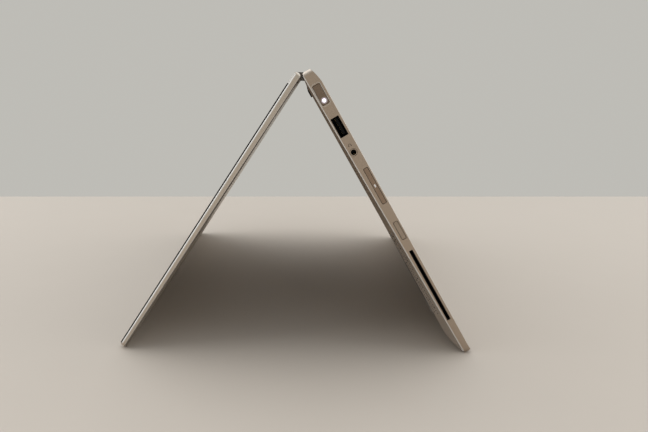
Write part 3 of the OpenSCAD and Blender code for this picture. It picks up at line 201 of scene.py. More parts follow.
class KeySizes(bpy.types.PropertyGroup):
    corner: FloatProperty(name="Corner radius", description="Radius of a key cap's corners, in mm",
                          default=1.5, min=0.3, max=2.5)
    edge: FloatProperty(name="Edge radius", description="Rounding of a key cap's upper edge, in mm",
                        default=0.28, min=0.05, max=0.6)
    dish: FloatProperty(name="Dish", description="Depth of the hollow in a key cap, in mm",
                        default=0.22, min=0.0, max=0.5)
    letter: FloatProperty(name="Letter size", description="Size of the letters, in mm",
                          default=4.75, min=2.0, max=7.0)
    word: FloatProperty(name="Word size", description="Size of words and signs, in mm",
                        default=2.7, min=1.5, max=4.0)
    cap: FloatVectorProperty(name="Cap colour", description="Colour of the key caps",
                             subtype="COLOR", size=3, default=(0.50, 0.475, 0.44), min=0, max=1)
    legend: FloatVectorProperty(name="Legend colour", description="Colour of the printed letters",
                                subtype="COLOR", size=3, default=(0.035, 0.033, 0.032), min=0, max=1)


class ShellColours(bpy.types.PropertyGroup):
    # The base is given a darker, browner colour than the lid, though both are one metal: painted
    # shade, as the base's side stands in shade
    base: FloatVectorProperty(name="Base", description="Colour of the base's metal",
                              subtype="COLOR", size=3, default=(0.465, 0.38, 0.303), min=0, max=1)
    lid: FloatVectorProperty(name="Lid", description="Colour of the lid's metal",
                             subtype="COLOR", size=3, default=(0.60, 0.535, 0.46), min=0, max=1)
    polish: FloatVectorProperty(name="Polish", description="Colour of the cut and polished bevels",
                                subtype="COLOR", size=3, default=(0.94, 0.94, 0.93), min=0, max=1)
    # The buttons and the rocker are the shell's metal, given a darker colour as painted shade of
    # their recesses
    buttons: FloatVectorProperty(name="Buttons", description="Colour of the side buttons",
                                 subtype="COLOR", size=3, default=(0.235, 0.175, 0.13), min=0, max=1)
    rocker: FloatVectorProperty(name="Rocker", description="Colour of the volume rocker",
                                subtype="COLOR", size=3, default=(0.33, 0.24, 0.175), min=0, max=1)
    links: FloatVectorProperty(name="Links", description="Colour of the hinge links",
                               subtype="COLOR", size=3, default=(0.13, 0.12, 0.11), min=0, max=1)
    grain: FloatProperty(name="Blast grain", description="Size of the blasted metal's grain, in mm",
                         default=0.16, min=0.05, max=1.0)
    edge_round: FloatProperty(name="Edge rounding", description="Width of the softened edges, in mm",
                              default=0.3, min=0.0, max=1.0)


class StageSizes(bpy.types.PropertyGroup):
    camera: FloatVectorProperty(name="Camera place", description="Where the camera stands",
                                subtype="TRANSLATION", unit="LENGTH", size=3,
                                default=(0.56002, 0.00188, 0.18014))
    yaw: FloatProperty(name="Yaw", description="Turn of the camera from straight along -X",
                       unit="ROTATION", default=math.radians(2.034))
    pitch: FloatProperty(name="Pitch", description="Downward tilt of the camera",
                         unit="ROTATION", default=math.radians(12.219))
    roll: FloatProperty(name="Roll", description="Roll of the camera about its view",
                        unit="ROTATION", default=math.radians(1.618))
    lens: FloatProperty(name="Lens", description="Focal length on a 36 mm sensor",
                        default=34.956, min=10, max=200)
    floor_reach: FloatProperty(name="Floor reach", description="How far the floor reaches",
                               unit="LENGTH", default=12.0, min=1, max=40)
    floor_far: FloatProperty(name="Floor edge", description="Where the floor's far edge crosses X",
                             unit="LENGTH", default=-0.4123)
    floor_skew: FloatProperty(name="Floor skew", description="Turn of the floor's far edge",
                              unit="ROTATION", default=math.radians(6.82))
    floor: FloatVectorProperty(name="Floor", description="Colour of the floor",
                               subtype="COLOR", size=3, default=(0.60, 0.555, 0.50), min=0, max=1)
    wall: FloatVectorProperty(name="Backdrop", description="Colour behind the floor",
                              subtype="COLOR", size=3, default=(0.515, 0.505, 0.47), min=0, max=1)
    daylight: FloatVectorProperty(name="Daylight", description="Colour of the light",
                                  subtype="COLOR", size=3, default=(1.0, 0.985, 0.965),
                                  min=0, max=1)
    sky: FloatProperty(name="Room light", description="Strength of the light from all sides",
                       default=0.5, min=0, max=2)
    window: FloatProperty(name="Window", description="Strength of the light on the screen's side",
                          default=1.6, min=0, max=10)
    fill: FloatProperty(name="Fill", description="Strength of the light on the keyboard's side",
                        default=0.95, min=0, max=10)
    softness: FloatProperty(name="Softness", description="How wide the lights are",
                            unit="ROTATION", default=math.radians(85), min=0, max=3)


# ---- Frames ----

# From the base, in mm, to the scene: y runs from the hinge shaft to the front, z up from the deck
BASE_PLACE = (Matrix.Translation(BASE_SHAFT) @ Matrix.Rotation(BASE_LEAN - math.pi / 2, 4, "X")
              @ Matrix.Translation((0, 0, SHAFT_DROP * MM)) @ Matrix.Scale(MM, 4))
# From the lid, in mm, to the scene: y runs from the lid's shaft to its free edge, z to its back
LID_PLACE = (Matrix.Translation(LID_SHAFT) @ Matrix.Rotation(-LID_LEAN - math.pi / 2, 4, "X")
             @ Matrix.Scale(MM, 4))


def crease_line(node, place, pick):
    """Where a shell's side face ends: its z at y = 0 and its slope, in mm of the given frame."""
    back = place.inverted()
    rim = [back @ vert.co for vert in frame["nodes"][node].data.vertices]
    rim = [point for point in rim if point.x > HALF_WIDTH - 0.01]
    start, end = (pick((p for p in rim if (p.y < CREASE_SPLIT) == near), key=lambda p: p.z)
                  for near in (True, False))
    slope = (end.z - start.z) / (end.y - start.y)
    return start.z - slope * start.y, slope


def islands(node, place):
    """The boxes of a CAD node's separate solids, in mm of the given frame, from +X to -X."""
    work = bmesh.new()
    work.from_mesh(frame["nodes"][node].data)
    bmesh.ops.remove_doubles(work, verts=work.verts, dist=1e-7)
    back = place.inverted()
    left = set(work.verts)
    boxes = []
    while left:
        group = [left.pop()]
        for vert in group:
            for edge in vert.link_edges:
                other = edge.other_vert(vert)
                if other in left:
                    left.remove(other)
                    group.append(other)
        points = [back @ vert.co for vert in group]
        boxes.append((Vector([min(p[k] for p in points) for k in range(3)]),
                      Vector([max(p[k] for p in points) for k in range(3)])))
    work.free()
    return sorted(boxes, key=lambda box: (-round((box[0].x + box[1].x) / 2, 1), box[0].y))


# ---- Shader sums ----

class Value:
    """What one output of a node gives. Sums on it add Math nodes."""

    def __init__(self, tree, node, output=0):
        self.tree = tree
        self.node = node
        self.output = output

    @property
    def socket(self):
        return self.node.outputs[self.output]

    def out(self, output):
        """Another output of the same node."""
        return Value(self.tree, self.node, output)

    def math(self, operation, *terms, clamp=False):
        return self.tree.node("Math", {"operation": operation, "use_clamp": clamp},
                              dict(enumerate(terms)))

    def __add__(self, other):
        return self.math("ADD", self, other)

    __radd__ = __add__

    def __sub__(self, other):
        return self.math("SUBTRACT", self, other)

    def __rsub__(self, other):
        return self.math("SUBTRACT", other, self)

    def __mul__(self, other):
        return self.math("MULTIPLY", self, other)

    __rmul__ = __mul__

    def __truediv__(self, other):
        return self.math("DIVIDE", self, other)

    def __rtruediv__(self, other):
        return self.math("DIVIDE", other, self)

    def __abs__(self):
        return self.math("ABSOLUTE", self)

    def over(self, edge, soft):
        """0 well below the edge, 1 well above it, and a slope of width soft between."""
        return self.math("ADD", (self - edge) / soft, 0.5, clamp=True)

    def under(self, edge, soft):
        """1 well below the edge, 0 well above it."""
        return 1 - self.over(edge, soft)

    def least(self, other):
        return self.math("MINIMUM", self, other)

    def most(self, other):
        return self.math("MAXIMUM", self, other)


class Tree:
    """The nodes of a material or of the world."""

    def __init__(self, owner):
        owner.use_nodes = True
        self.tree = owner.node_tree

    def node(self, kind, settings=None, sockets=None, output=0):
        """Adds a node. Its settings are made first, then its sockets get values or links."""
        node = self.tree.nodes.new("ShaderNode" + kind)
        for setting, value in (settings or {}).items():
            setattr(node, setting, value)
        self.plug(node, sockets or {})
        return Value(self, node, output)

    def plug(self, node, sockets):
        """Gives sockets, named or numbered, their values or links."""
        for name, value in sockets.items():
            socket = node.inputs[name]
            if isinstance(value, Value):
                self.tree.links.new(value.socket, socket)
            elif socket.type == "RGBA":
                socket.default_value = (*value, 1)
            else:
                socket.default_value = value


class Finish(Tree):
    """One material: its nodes, and the constants on its shader."""

    def __init__(self, name, constants=None):
        self.material = bpy.data.materials.new(name)
        super().__init__(self.material)
        self.shader = self.tree.nodes["Principled BSDF"]
        self.feed(constants or {})

    def feed(self, sockets):
        """Gives the shader's sockets their values or links, and hands the material over."""
        self.plug(self.shader, sockets)
        return self.material

    def spot(self, place=None):
        """Where on the object a point is, in mm of a frame."""
        place = place or Matrix.Scale(MM, 4)
        return self.node("Mapping", {"vector_type": "TEXTURE"},
                         {"Vector": self.node("TexCoord", output="Object"),
                          "Location": place.to_translation(), "Rotation": place.to_euler(),
                          "Scale": place.to_scale()})

    def split(self, vector):
        """The x, y and z of a vector."""
        parts = self.node("SeparateXYZ", sockets={"Vector": vector})
        return [parts.out(k) for k in range(3)]

    def noise(self, vector, size, detail=2.0, rough=0.5):
        """Noise from 0 to 1 whose lumps are about size mm."""
        return self.node("TexNoise", sockets={"Vector": vector, "Scale": 1 / size,
                                              "Detail": detail, "Roughness": rough})

    def mix(self, factor, low, high):
        """A colour between two, by a factor."""
        return self.node("Mix", {"data_type": "RGBA"},
                         {"Factor": factor, MIX_LOW: low, MIX_HIGH: high}, MIX_RESULT)

    def bump(self, height, depth, normal):
        """A normal from a height of 0 to 1 that stands for depth mm, on top of another normal."""
        return self.node("Bump", sockets={"Height": height, "Distance": depth * MM,
                                          "Strength": 1.0, "Normal": normal})

    def soft_edges(self, width):
        """A normal that rounds the edges by width mm."""
        return self.node("Bevel", {"samples": 4}, {"Radius": width * MM})


def tint(colour, share):
    """A colour made darker or lighter by a share."""
    return tuple(max(0.0, min(1.0, c * share)) for c in colour)


def blasted_metal(name, colour, shell, place, polish_and_shade_masks, roughness):
    """Bead-blasted anodised aluminium. Its fifth argument gives two masks: the polished bevels,
    partly painted highlight, and a painted shade.
    """
    finish = Finish(name)
    spot = finish.spot(place)
    blast = finish.noise(spot, shell.grain, 3, 0.7)
    cloud = finish.noise(spot, 38, 3, 0.6)
    smear = finish.noise(spot, 11, 4, 0.65).over(0.6, 0.22)
    polish_highlight, painted_shade = polish_and_shade_masks(finish, spot)
    tone = finish.mix(cloud, tint(colour, 0.965), tint(colour, 1.03))
    # Where the shade mask is set, the colour darkens to 0.6: painted shade
    tone = finish.mix(painted_shade, tone, tint(colour, 0.6))
    speck = finish.mix(blast.over(0.62, 0.2) * 0.18, tone, tint(colour, 1.16))
    rough = roughness + (blast - 0.5) * 0.08 + (cloud - 0.5) * 0.05 + smear * 0.05
    normal = finish.bump(blast * (1 - polish_highlight), 0.004, finish.soft_edges(shell.edge_round))
    # The polished bevels are near white and barely metallic, so they stay bright under any light:
    # real polished edges, partly painted highlight
    return finish.feed({"Base Color": finish.mix(polish_highlight, speck, shell.polish),
                        "Roughness": rough * (1 - polish_highlight) + polish_highlight * 0.2,
                        "Metallic": 0.8 - polish_highlight * 0.5,
                        "Normal": normal})


def satin_plastic(name, colour, grain, roughness, depth=0.012, edge_round=0.15, shine=0.5):
    """Moulded plastic with a fine texture and slightly rubbed edges."""
    finish = Finish(name, {"Specular IOR Level": shine})
    spot = finish.spot()
    texture = finish.noise(spot, grain, 2, 0.6)
    cloud = finish.noise(spot, 17, 2, 0.5)
    tone = finish.mix(cloud, tint(colour, 0.92), tint(colour, 1.08))
    rub = texture.over(0.6, 0.25) * 0.3
    return finish.feed({"Base Color": finish.mix(rub, tone, tint(colour, 1.3)),
                        "Roughness": roughness + (texture - 0.5) * 0.16 + (cloud - 0.5) * 0.08,
                        "Normal": finish.bump(texture, depth, finish.soft_edges(edge_round))})


def turned_metal(name, colour, roughness, streak=0.25, depth=0.004, edge_round=0.12):
    """Machined or drawn metal, with fine streaks along X."""
    finish = Finish(name, {"Metallic": 1.0})
    spot = finish.spot()
    line = finish.node("Mapping", sockets={"Vector": spot, "Scale": (0.12, 1, 1)})
    lines = finish.noise(line, streak, 3, 0.6)
    cloud = finish.noise(spot, 6, 3, 0.6)
    return finish.feed({"Base Color": finish.mix(lines, tint(colour, 0.88), tint(colour, 1.12)),
                        "Roughness": roughness + (lines - 0.5) * 0.14 + (cloud - 0.5) * 0.1,
                        "Normal": finish.bump(lines, depth, finish.soft_edges(edge_round))})


def paint(material, *nodes):
    """Gives a material to CAD nodes, in their own slots."""
    for name in nodes:
        for slot in frame["nodes"][name].material_slots:
            slot.material = material


# ---- Fine pieces ----

def piece(name, work, place, body, material, smooth=40.0, stands_for=()):
    """Makes an object of a bmesh drawn in mm of a frame, and lets it ride on a body."""
    bmesh.ops.recalc_face_normals(work, faces=work.faces)
    work.transform(place)
    mesh = bpy.data.meshes.new(name)
    work.to_mesh(mesh)
    work.free()
    mesh.polygons.foreach_set("use_smooth", [True] * len(mesh.polygons))
    mesh.set_sharp_from_angle(angle=math.radians(smooth))
    mesh.materials.append(material)
    made = bpy.data.objects.new(name, mesh)
    bpy.context.scene.collection.objects.link(made)
    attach(made, body)
    if stands_for:
        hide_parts(*stands_for)


def rounded_ring(work, lo, hi, inset, radius, height, steps=5):
    """A ring of vertices round a rectangle with round corners. height is z, or a rule for it."""
    radius = max(radius - inset, 0.05)
    x0, y0, x1, y1 = lo.x + inset, lo.y + inset, hi.x - inset, hi.y - inset
    radius = min(radius, (x1 - x0) / 2, (y1 - y0) / 2)
    ring = []
    for cx, cy, turn in ((x1 - radius, y1 - radius, 0), (x0 + radius, y1 - radius, 90),
                         (x0 + radius, y0 + radius, 180), (x1 - radius, y0 + radius, 270)):
        for k in range(steps + 1):
            angle = math.radians(turn + 90 * k / steps)
            x, y = cx + radius * math.cos(angle), cy + radius * math.sin(angle)
            ring.append(work.verts.new((x, y, height(x, y) if callable(height) else height)))
    return ring


def stitch(work, low, high):
    """Joins two rings of vertices with faces."""
    for k in range(len(low)):
        work.faces.new((low[k - 1], low[k], high[k], high[k - 1]))


def dish_height(lo, hi, dish):
    """The rule for the height of a key's hollow top."""
    cx, cy = (lo.x + hi.x) / 2, (lo.y + hi.y) / 2
    rx, ry = (hi.x - lo.x) / 2, (hi.y - lo.y) / 2

    def height(x, y):
        across = max(0.0, 1 - ((x - cx) / rx) ** 2)
        along = max(0.0, 1 - ((y - cy) / ry) ** 2)
        return hi.z - dish * min(1.0, DISH_FALL * across) * min(1.0, DISH_FALL * along)
    return height


def add_cap(work, lo, hi, sizes):
    """A key cap: straight skirt, rounded upper edge and a shallow dish."""
    height = dish_height(lo, hi, sizes.dish)
    rings = [rounded_ring(work, lo, hi, 0, sizes.corner, lo.z)]
    for k in range(EDGE_STEPS + 1):
        angle = math.radians(90 * k / EDGE_STEPS)
        rings.append(rounded_ring(work, lo, hi, sizes.edge * (1 - math.cos(angle)), sizes.corner,
                                  hi.z - sizes.edge * (1 - math.sin(angle))))
    deepest = min(hi.x - lo.x, hi.y - lo.y) / 2 - DISH_MIDDLE
    for share in DISH_RINGS:
        rings.append(rounded_ring(work, lo, hi, sizes.edge + share * deepest,
                                  sizes.corner * DISH_CORNER, height))
    for low, high in zip(rings, rings[1:]):
        stitch(work, low, high)
    work.faces.new(rings[-1])
    work.faces.new(list(reversed(rings[0])))


def add_bar(work, centre, size):
    """A small bar with bevelled edges."""
    half = Vector(size) / 2
    lo, hi = Vector(centre) - half, Vector(centre) + half
    bevel = min(size) * BAR_BEVEL
    rings = [rounded_ring(work, lo, hi, inset, bevel, height, steps=2)
             for inset, height in ((0, lo.z), (0, hi.z - bevel), (bevel, hi.z))]
    for low, high in zip(rings, rings[1:]):
        stitch(work, low, high)
    work.faces.new(rings[-1])
    work.faces.new(list(reversed(rings[0])))


def letters(text, size):
    """The outline of some letters as flat polygons, centred on the origin: (points, faces)."""
    curve = bpy.data.curves.new("letters", "FONT")
    curve.body = text
    curve.size = size
    curve.resolution_u = 3
    curve.align_x, curve.align_y = "CENTER", "CENTER"
    curve.space_line = 0.95
    curve.offset = size * STROKE
    holder = bpy.data.objects.new("letters", curve)
    bpy.context.scene.collection.objects.link(holder)
    bpy.context.view_layer.update()
    drawn = holder.evaluated_get(bpy.context.evaluated_depsgraph_get()).to_mesh()
    points = [v.co.copy() for v in drawn.vertices]
    faces = [list(p.vertices) for p in drawn.polygons]
    holder.to_mesh_clear()
    bpy.data.objects.remove(holder)
    bpy.data.curves.remove(curve)
    return points, faces


def add_legend(work, label, lo, hi, sizes):
    """Prints a label just above a key's dished top, readable from the front edge."""
    height = dish_height(lo, hi, sizes.dish)
    cx, cy = (lo.x + hi.x) / 2, (lo.y + hi.y) / 2
    if label in ARROW_TURNS:
        turn = Matrix.Rotation(-math.radians(ARROW_TURNS[label]), 3, "Z")
        points = [turn @ Vector((*corner, 0)) for corner in ARROW]
        faces = [[0, 1, 2]]
    else:
        size = sizes.letter if len(label) == 1 else sizes.word
        if "\n" in label:
            size = sizes.word * PAIR_SIZE
        points, faces = letters(label, size)
        if len(label) >= WORD_LENGTH and hi.x - lo.x > LONG_KEY:
            side = 1 if cx > 0 else -1
            room = (hi.x - lo.x) / 2 - WORD_MARGIN
            reach = max(abs(p.x) for p in points)
            cx += side * max(0.0, room - reach)
    verts = []
    for p in points:
        x, y = cx - p.x, cy - p.y
        verts.append(work.verts.new((x, y, height(x, y) + PRINT_OFF)))
    for face in faces:
        work.faces.new([verts[k] for k in face])


def lathe(work, outline, at, axis, steps):
    """Turns an outline of (radius, reach) pairs round an axis."""
    turn = Vector((0, 0, 1)).rotation_difference(Vector(axis)).to_matrix()
    rings = []
    for radius, reach in outline:
        ring = []
        for k in range(steps):
            angle = 2 * math.pi * k / steps
            spot = Vector((radius * math.cos(angle), radius * math.sin(angle), reach))
            ring.append(work.verts.new(Vector(at) + turn @ spot))
        rings.append(ring)
    for low, high in zip(rings, rings[1:]):
        stitch(work, low, high)
    return rings


class Maker:
    """What the operators share."""
    bl_options = {"REGISTER", "UNDO"}


class LAPTOP_OT_shells(Maker, bpy.types.Operator):
    """Finish the base and the lid as blasted metal with polished bevels, painted highlights and
    painted shade
    """
    bl_idname = "laptop.shells"
    bl_label = "Metal Shells"

    def execute(self, context):
        shell = context.scene.laptop_shells
        base_z, base_slope = crease_line("top_case", BASE_PLACE, min)
        lid_z, lid_slope = crease_line("lid_cover", LID_PLACE, max)
        base_start = islands("top_case", BASE_PLACE)[0][0].y
        lid_lo, lid_hi = islands("lid_cover", LID_PLACE)[0]

        def near_sides(x, reach, soft):
            """1 within reach of the left and the right side."""
            return abs(x).over(HALF_WIDTH - reach, soft)

        def base_bevels(finish, spot):
            """The base's polished bevels, with painted light on its hinge end and its front undercut.
            """
            x, y, z = finish.split(spot)
            over_crease = z - (y * base_slope + base_z)
            from_end = y - base_start
            side = near_sides(x, *BASE_BEVEL)
            # The crease line: a polished chamfer, brightened as a painted highlight of light on its
            # edge
            crease = abs(over_crease).under(*BASE_CREASE) * BASE_CREASE_HIGHLIGHT
            # The hinge end's corner, and its end wall below, are lightened as painted highlight
            corner = from_end.under(BASE_CORNER_HIGHLIGHT, CORNER_FADE)
            rim = z.over(BASE_RIM, RIM_FADE) * RIM_SHINE
            end_wall_highlight = from_end.under(*BASE_END_HIGHLIGHT) * near_sides(x, *HINGE_END_HIGHLIGHT_SIDE) * END_HIGHLIGHT_SHARE
            # The undercut grows paler toward the front: painted light bounced from the floor
            undercut = over_crease.under(*BASE_UNDERCUT) * near_sides(x, *UNDERCUT_SIDE)
            bounce_light = undercut * y.over(*BOUNCE_FRONT) * BOUNCE_SHINE
            return (side * rim.most(crease).most(corner)).most(end_wall_highlight).most(bounce_light), 0

        def lid_bevels(finish, spot):
            """The lid's polished bevels with painted light on its hinge end, and painted shade on its
            undercut.
            """
            x, y, z = finish.split(spot)
            over_crease = z - (y * lid_slope + lid_z)
            from_end = y - lid_lo.y
            side = near_sides(x, *LID_BEVEL)
            # The crease line: a polished chamfer, brightened as a painted highlight of light on its
            # edge
            crease = side * (abs(over_crease).under(*LID_CREASE) * LID_CREASE_HIGHLIGHT)
            edge = y.over(lid_hi.y - LID_EDGE, RIM_FADE)
            rim = side.most(edge) * z.under(LID_RIM, RIM_FADE)
            # The hinge end's corner, and its end wall below, are lightened as painted highlight
            corner = side * from_end.under(LID_CORNER_HIGHLIGHT, CORNER_FADE)
            end_wall_highlight = from_end.under(*LID_END_HIGHLIGHT) * near_sides(x, *HINGE_END_HIGHLIGHT_SIDE) * END_HIGHLIGHT_SHARE
            # Painted shade on the lid's undercut near the sides
            painted_shade = over_crease.over(*LID_UNDERCUT) * near_sides(x, *SHADE_SIDE)
            return rim.most(crease).most(corner).most(end_wall_highlight), painted_shade

        for node, name, colour, place, bevels, roughness in (
                ("top_case", "base_metal", shell.base, BASE_PLACE, base_bevels, 0.36),
                ("bottom_cover", "cover_metal", tint(shell.base, 0.92), BASE_PLACE, base_bevels, 0.4),
                ("lid_cover", "lid_metal", shell.lid, LID_PLACE, lid_bevels, 0.34)):
            paint(blasted_metal(name, colour, shell, place, bevels, roughness), node)
        return {"FINISHED"}


class LAPTOP_OT_keys(Maker, bpy.types.Operator):
    """Make dished key caps with printed letters"""
    bl_idname = "laptop.keys"
    bl_label = "Key Caps"

    def execute(self, context):
        sizes = context.scene.laptop_keys
        cap = satin_plastic("key_cap", sizes.cap, grain=0.2, roughness=0.4, depth=0.006,
                            edge_round=0.1)
        ink = Finish("key_ink")
        worn = ink.noise(ink.spot(), 0.5, 2, 0.6)
        ink.feed({"Base Color": ink.mix(worn, tint(sizes.legend, 0.85), tint(sizes.legend, 1.25)),
                  "Roughness": 0.5 + worn * 0.15})
        for row, labels in ROW_LABELS.items():
            boxes = islands(row, BASE_PLACE)
            if len(boxes) != len(labels):
                raise RuntimeError(f"{row} has {len(boxes)} keys and {len(labels)} labels")
            caps, legends = bmesh.new(), bmesh.new()
            for (lo, hi), label in zip(boxes, labels):
                add_cap(caps, lo, hi, sizes)
                if label in HOME_MARKS:
                    low = lo.y + RIDGE_ALONG * (hi.y - lo.y)
                    add_bar(caps, ((lo.x + hi.x) / 2, low, hi.z - RIDGE_SINK), HOME_RIDGE)
                if label:
                    add_legend(legends, label, lo, hi, sizes)
            piece(row + "_caps", caps, BASE_PLACE, row, cap, smooth=50,
                  stands_for=(row,))
            if any(labels):
                piece(row + "_letters", legends, BASE_PLACE, row, ink.material)
            else:
                legends.free()
        return {"FINISHED"}


class LAPTOP_OT_trackpad(Maker, bpy.types.Operator):
    """Finish the trackpad as satin glass with a polished edge"""
    bl_idname = "laptop.trackpad"
    bl_label = "Trackpad"

    def execute(self, context):
        shell = context.scene.laptop_shells
        colour = tint(shell.base, 0.93)
        finish = Finish("trackpad_glass", {"Metallic": 0.55, "Coat Weight": 0.35,
                                           "Coat Roughness": 0.12})
        spot = finish.spot(BASE_PLACE)
        x, y = finish.split(spot)[:2]
        lo, hi = islands("trackpad", BASE_PLACE)[0]
        middle = (lo + hi) / 2
        to_side = (hi.x - middle.x) - abs(x - middle.x)
        to_end = (hi.y - middle.y) - abs(y - middle.y)
        border = to_side.least(to_end).under(*PAD_BORDER)
        etch = finish.noise(spot, 0.12, 2, 0.6)
        palm = finish.noise(spot, 14, 4, 0.6).over(0.55, 0.3)
        tone = finish.mix(palm * 0.4, colour, tint(colour, 1.05))
        rough = 0.36 + (etch - 0.5) * 0.08 - palm * 0.06
        finish.feed({"Base Color": finish.mix(border, tone, shell.polish),
                     "Roughness": rough * (1 - border) + border * 0.14,
                     "Normal": finish.bump(etch, 0.003, finish.soft_edges(0.2))})
        paint(finish.material, "trackpad")
        return {"FINISHED"}


class LAPTOP_OT_screen(Maker, bpy.types.Operator):
    """Finish the dark screen, its gasket, and the camera and microphones behind the glass"""
    bl_idname = "laptop.screen"
    bl_label = "Screen"

    def execute(self, context):
        paint(self.glass(), "cover_glass")
        paint(satin_plastic("gasket_rubber", (0.017, 0.017, 0.017), grain=0.3, roughness=0.62,
                            depth=0.015, edge_round=0.35), "glass_gasket")
        paint(satin_plastic("panel_back", (0.20, 0.205, 0.21), grain=0.5, roughness=0.35,
                            depth=0.01, edge_round=0.2), "display_panel")
        paint(satin_plastic("camera_board", (0.02, 0.02, 0.022), grain=0.2, roughness=0.5),
              "camera_module", "microphones")

        module_lo, module_hi = islands("camera_module", LID_PLACE)[0]
        at = Vector((0, (module_lo.y + module_hi.y) / 2, islands("cover_glass", LID_PLACE)[0][0].z))
        inward = (0, 0, 1)
        ring = bmesh.new()
        lathe(ring, CAMERA_RING, at, inward, steps=40)
        piece("camera_ring", ring, LID_PLACE, "lid",
              turned_metal("camera_ring_metal", (0.09, 0.09, 0.095), roughness=0.3))
        lens = bmesh.new()
        lens.faces.new(lathe(lens, CAMERA_LENS, at, inward, steps=40)[-1])
        piece("camera_lens", lens, LID_PLACE, "lid", self.lens_coating(at))
        dots = bmesh.new()
        for x, radius in BORDER_DOTS:
            outline = ((radius, 0.0), (radius, -0.012), (radius * 0.75, -0.018))
            dots.faces.new(lathe(dots, outline, at + Vector((x, 0, 0)), inward, steps=20)[-1])
        piece("border_dots", dots, LID_PLACE, "lid",
              satin_plastic("border_dot", (0.06, 0.06, 0.062), grain=0.1, roughness=0.3))
        return {"FINISHED"}

    @staticmethod
    def glass():
        """Black glass whose picture area is a little paler, with faint smears and dust."""
        panel_lo, panel_hi = islands("display_panel", LID_PLACE)[0]
        finish = Finish("screen_glass", {"Specular IOR Level": 0.3})
        spot = finish.spot(LID_PLACE)
        x, y = finish.split(spot)[:2]
        picture = (abs(x).under(panel_hi.x - PICTURE_BORDER, PICTURE_FADE)
                   * y.over(panel_lo.y + PICTURE_CHIN, PICTURE_FADE)
                   * y.under(panel_hi.y - PICTURE_BORDER, PICTURE_FADE))
        smear = finish.noise(spot, 16, 4, 0.65).over(0.58, 0.3)
        dust = finish.noise(spot, 0.7, 2, 0.5).over(0.78, 0.06)
        tone = finish.mix(picture, (0.0035, 0.0035, 0.004), (0.009, 0.010, 0.012))
        return finish.feed({"Base Color": finish.mix(dust * 0.35, tone, (0.09, 0.088, 0.085)),
                            "Roughness": 0.035 + smear * 0.07 + dust * 0.25 + picture * 0.015,
                            "Normal": finish.soft_edges(0.2)})

    @staticmethod
    def lens_coating(at):
        """Clear black glass with a violet coating and a dark pupil."""
        finish = Finish("camera_lens", {"Roughness": 0.02, "Coat Weight": 1.0,
                                        "Specular IOR Level": 0.8})
        x, y = finish.split(finish.spot(LID_PLACE))[:2]
        reach = x * x + (y - at.y) * (y - at.y)
        coating = finish.mix(reach.under(*LENS_COATING), (0.012, 0.012, 0.014),
                             (0.03, 0.022, 0.05))
        return finish.feed({"Base Color": finish.mix(reach.under(*LENS_PUPIL), coating,
                                                     (0.001, 0.001, 0.002))})


class LAPTOP_OT_buttons(Maker, bpy.types.Operator):
    """Finish the side buttons and the glowing power light"""
    bl_idname = "laptop.buttons"
    bl_label = "Side Buttons"

    def execute(self, context):
        shell = context.scene.laptop_shells
        lo, hi = islands("power_light", BASE_PLACE)[0]
        centre = (lo + hi) / 2

        def from_light(finish, spot):
            """The square of the distance from the power light's middle, on the side face."""
            y, z = finish.split(spot)[1:]
            dy, dz = y - centre.y, z - centre.z
            return dy * dy + dz * dz

        def button_metal(name, colour, with_painted_glow=False):
            """Rubbed metal whose nub holds a painted highlight. The lit button has a glow painted
            round the light.
            """
            button = Finish(name)
            spot = button.spot(BASE_PLACE)
            blast = button.noise(spot, 0.15, 3, 0.7)
            wear = button.noise(spot, 2.5, 3, 0.6)
            x = button.split(spot)[0]
            nub_highlight = (x - HALF_WIDTH).over(*NUB_HIGHLIGHT)
            tone = button.mix(wear, tint(colour, 0.88), tint(colour, 1.15))
            if with_painted_glow:
                # A glow painted on the button round the power light; the button is no lamp
                painted_halo = from_light(button, spot).under(*PAINTED_GLOW_REACH) * x.over(HALF_WIDTH - 1, 0.2)
                painted_glow = button.mix(painted_halo * painted_halo, (0, 0, 0), (0.8, 0.76, 0.88))
                button.feed({"Emission Color": painted_glow, "Emission Strength": 0.8})
            normal = button.bump(blast, 0.005, button.soft_edges(0.25))
            # The nub is near white and barely metallic: a painted highlight
            return button.feed({"Base Color": button.mix(nub_highlight, tone, tint(shell.polish, 1.2)),
                                "Roughness": 0.36 + (blast - 0.5) * 0.1 + (wear - 0.5) * 0.1,
                                "Metallic": 0.75 - nub_highlight * 0.7,
                                "Normal": normal})

        paint(button_metal("power_button_metal", shell.buttons, with_painted_glow=True), "power_button")
        paint(button_metal("rocker_metal", shell.rocker), "volume_rocker")
        paint(button_metal("home_button_metal", tint(shell.base, 0.86)), "home_button")

        light = Finish("power_light", {"Roughness": 0.3, "Emission Strength": 3.0})
        core = from_light(light, light.spot(BASE_PLACE)).under(*LIGHT_CORE)
        light.feed({"Base Color": light.mix(core, (0.75, 0.74, 0.8), (0.95, 0.94, 1.0)),
                    "Emission Color": light.mix(core, (0.60, 0.55, 0.72), (1.0, 0.97, 1.0))})
        paint(light.material, "power_light")
        return {"FINISHED"}


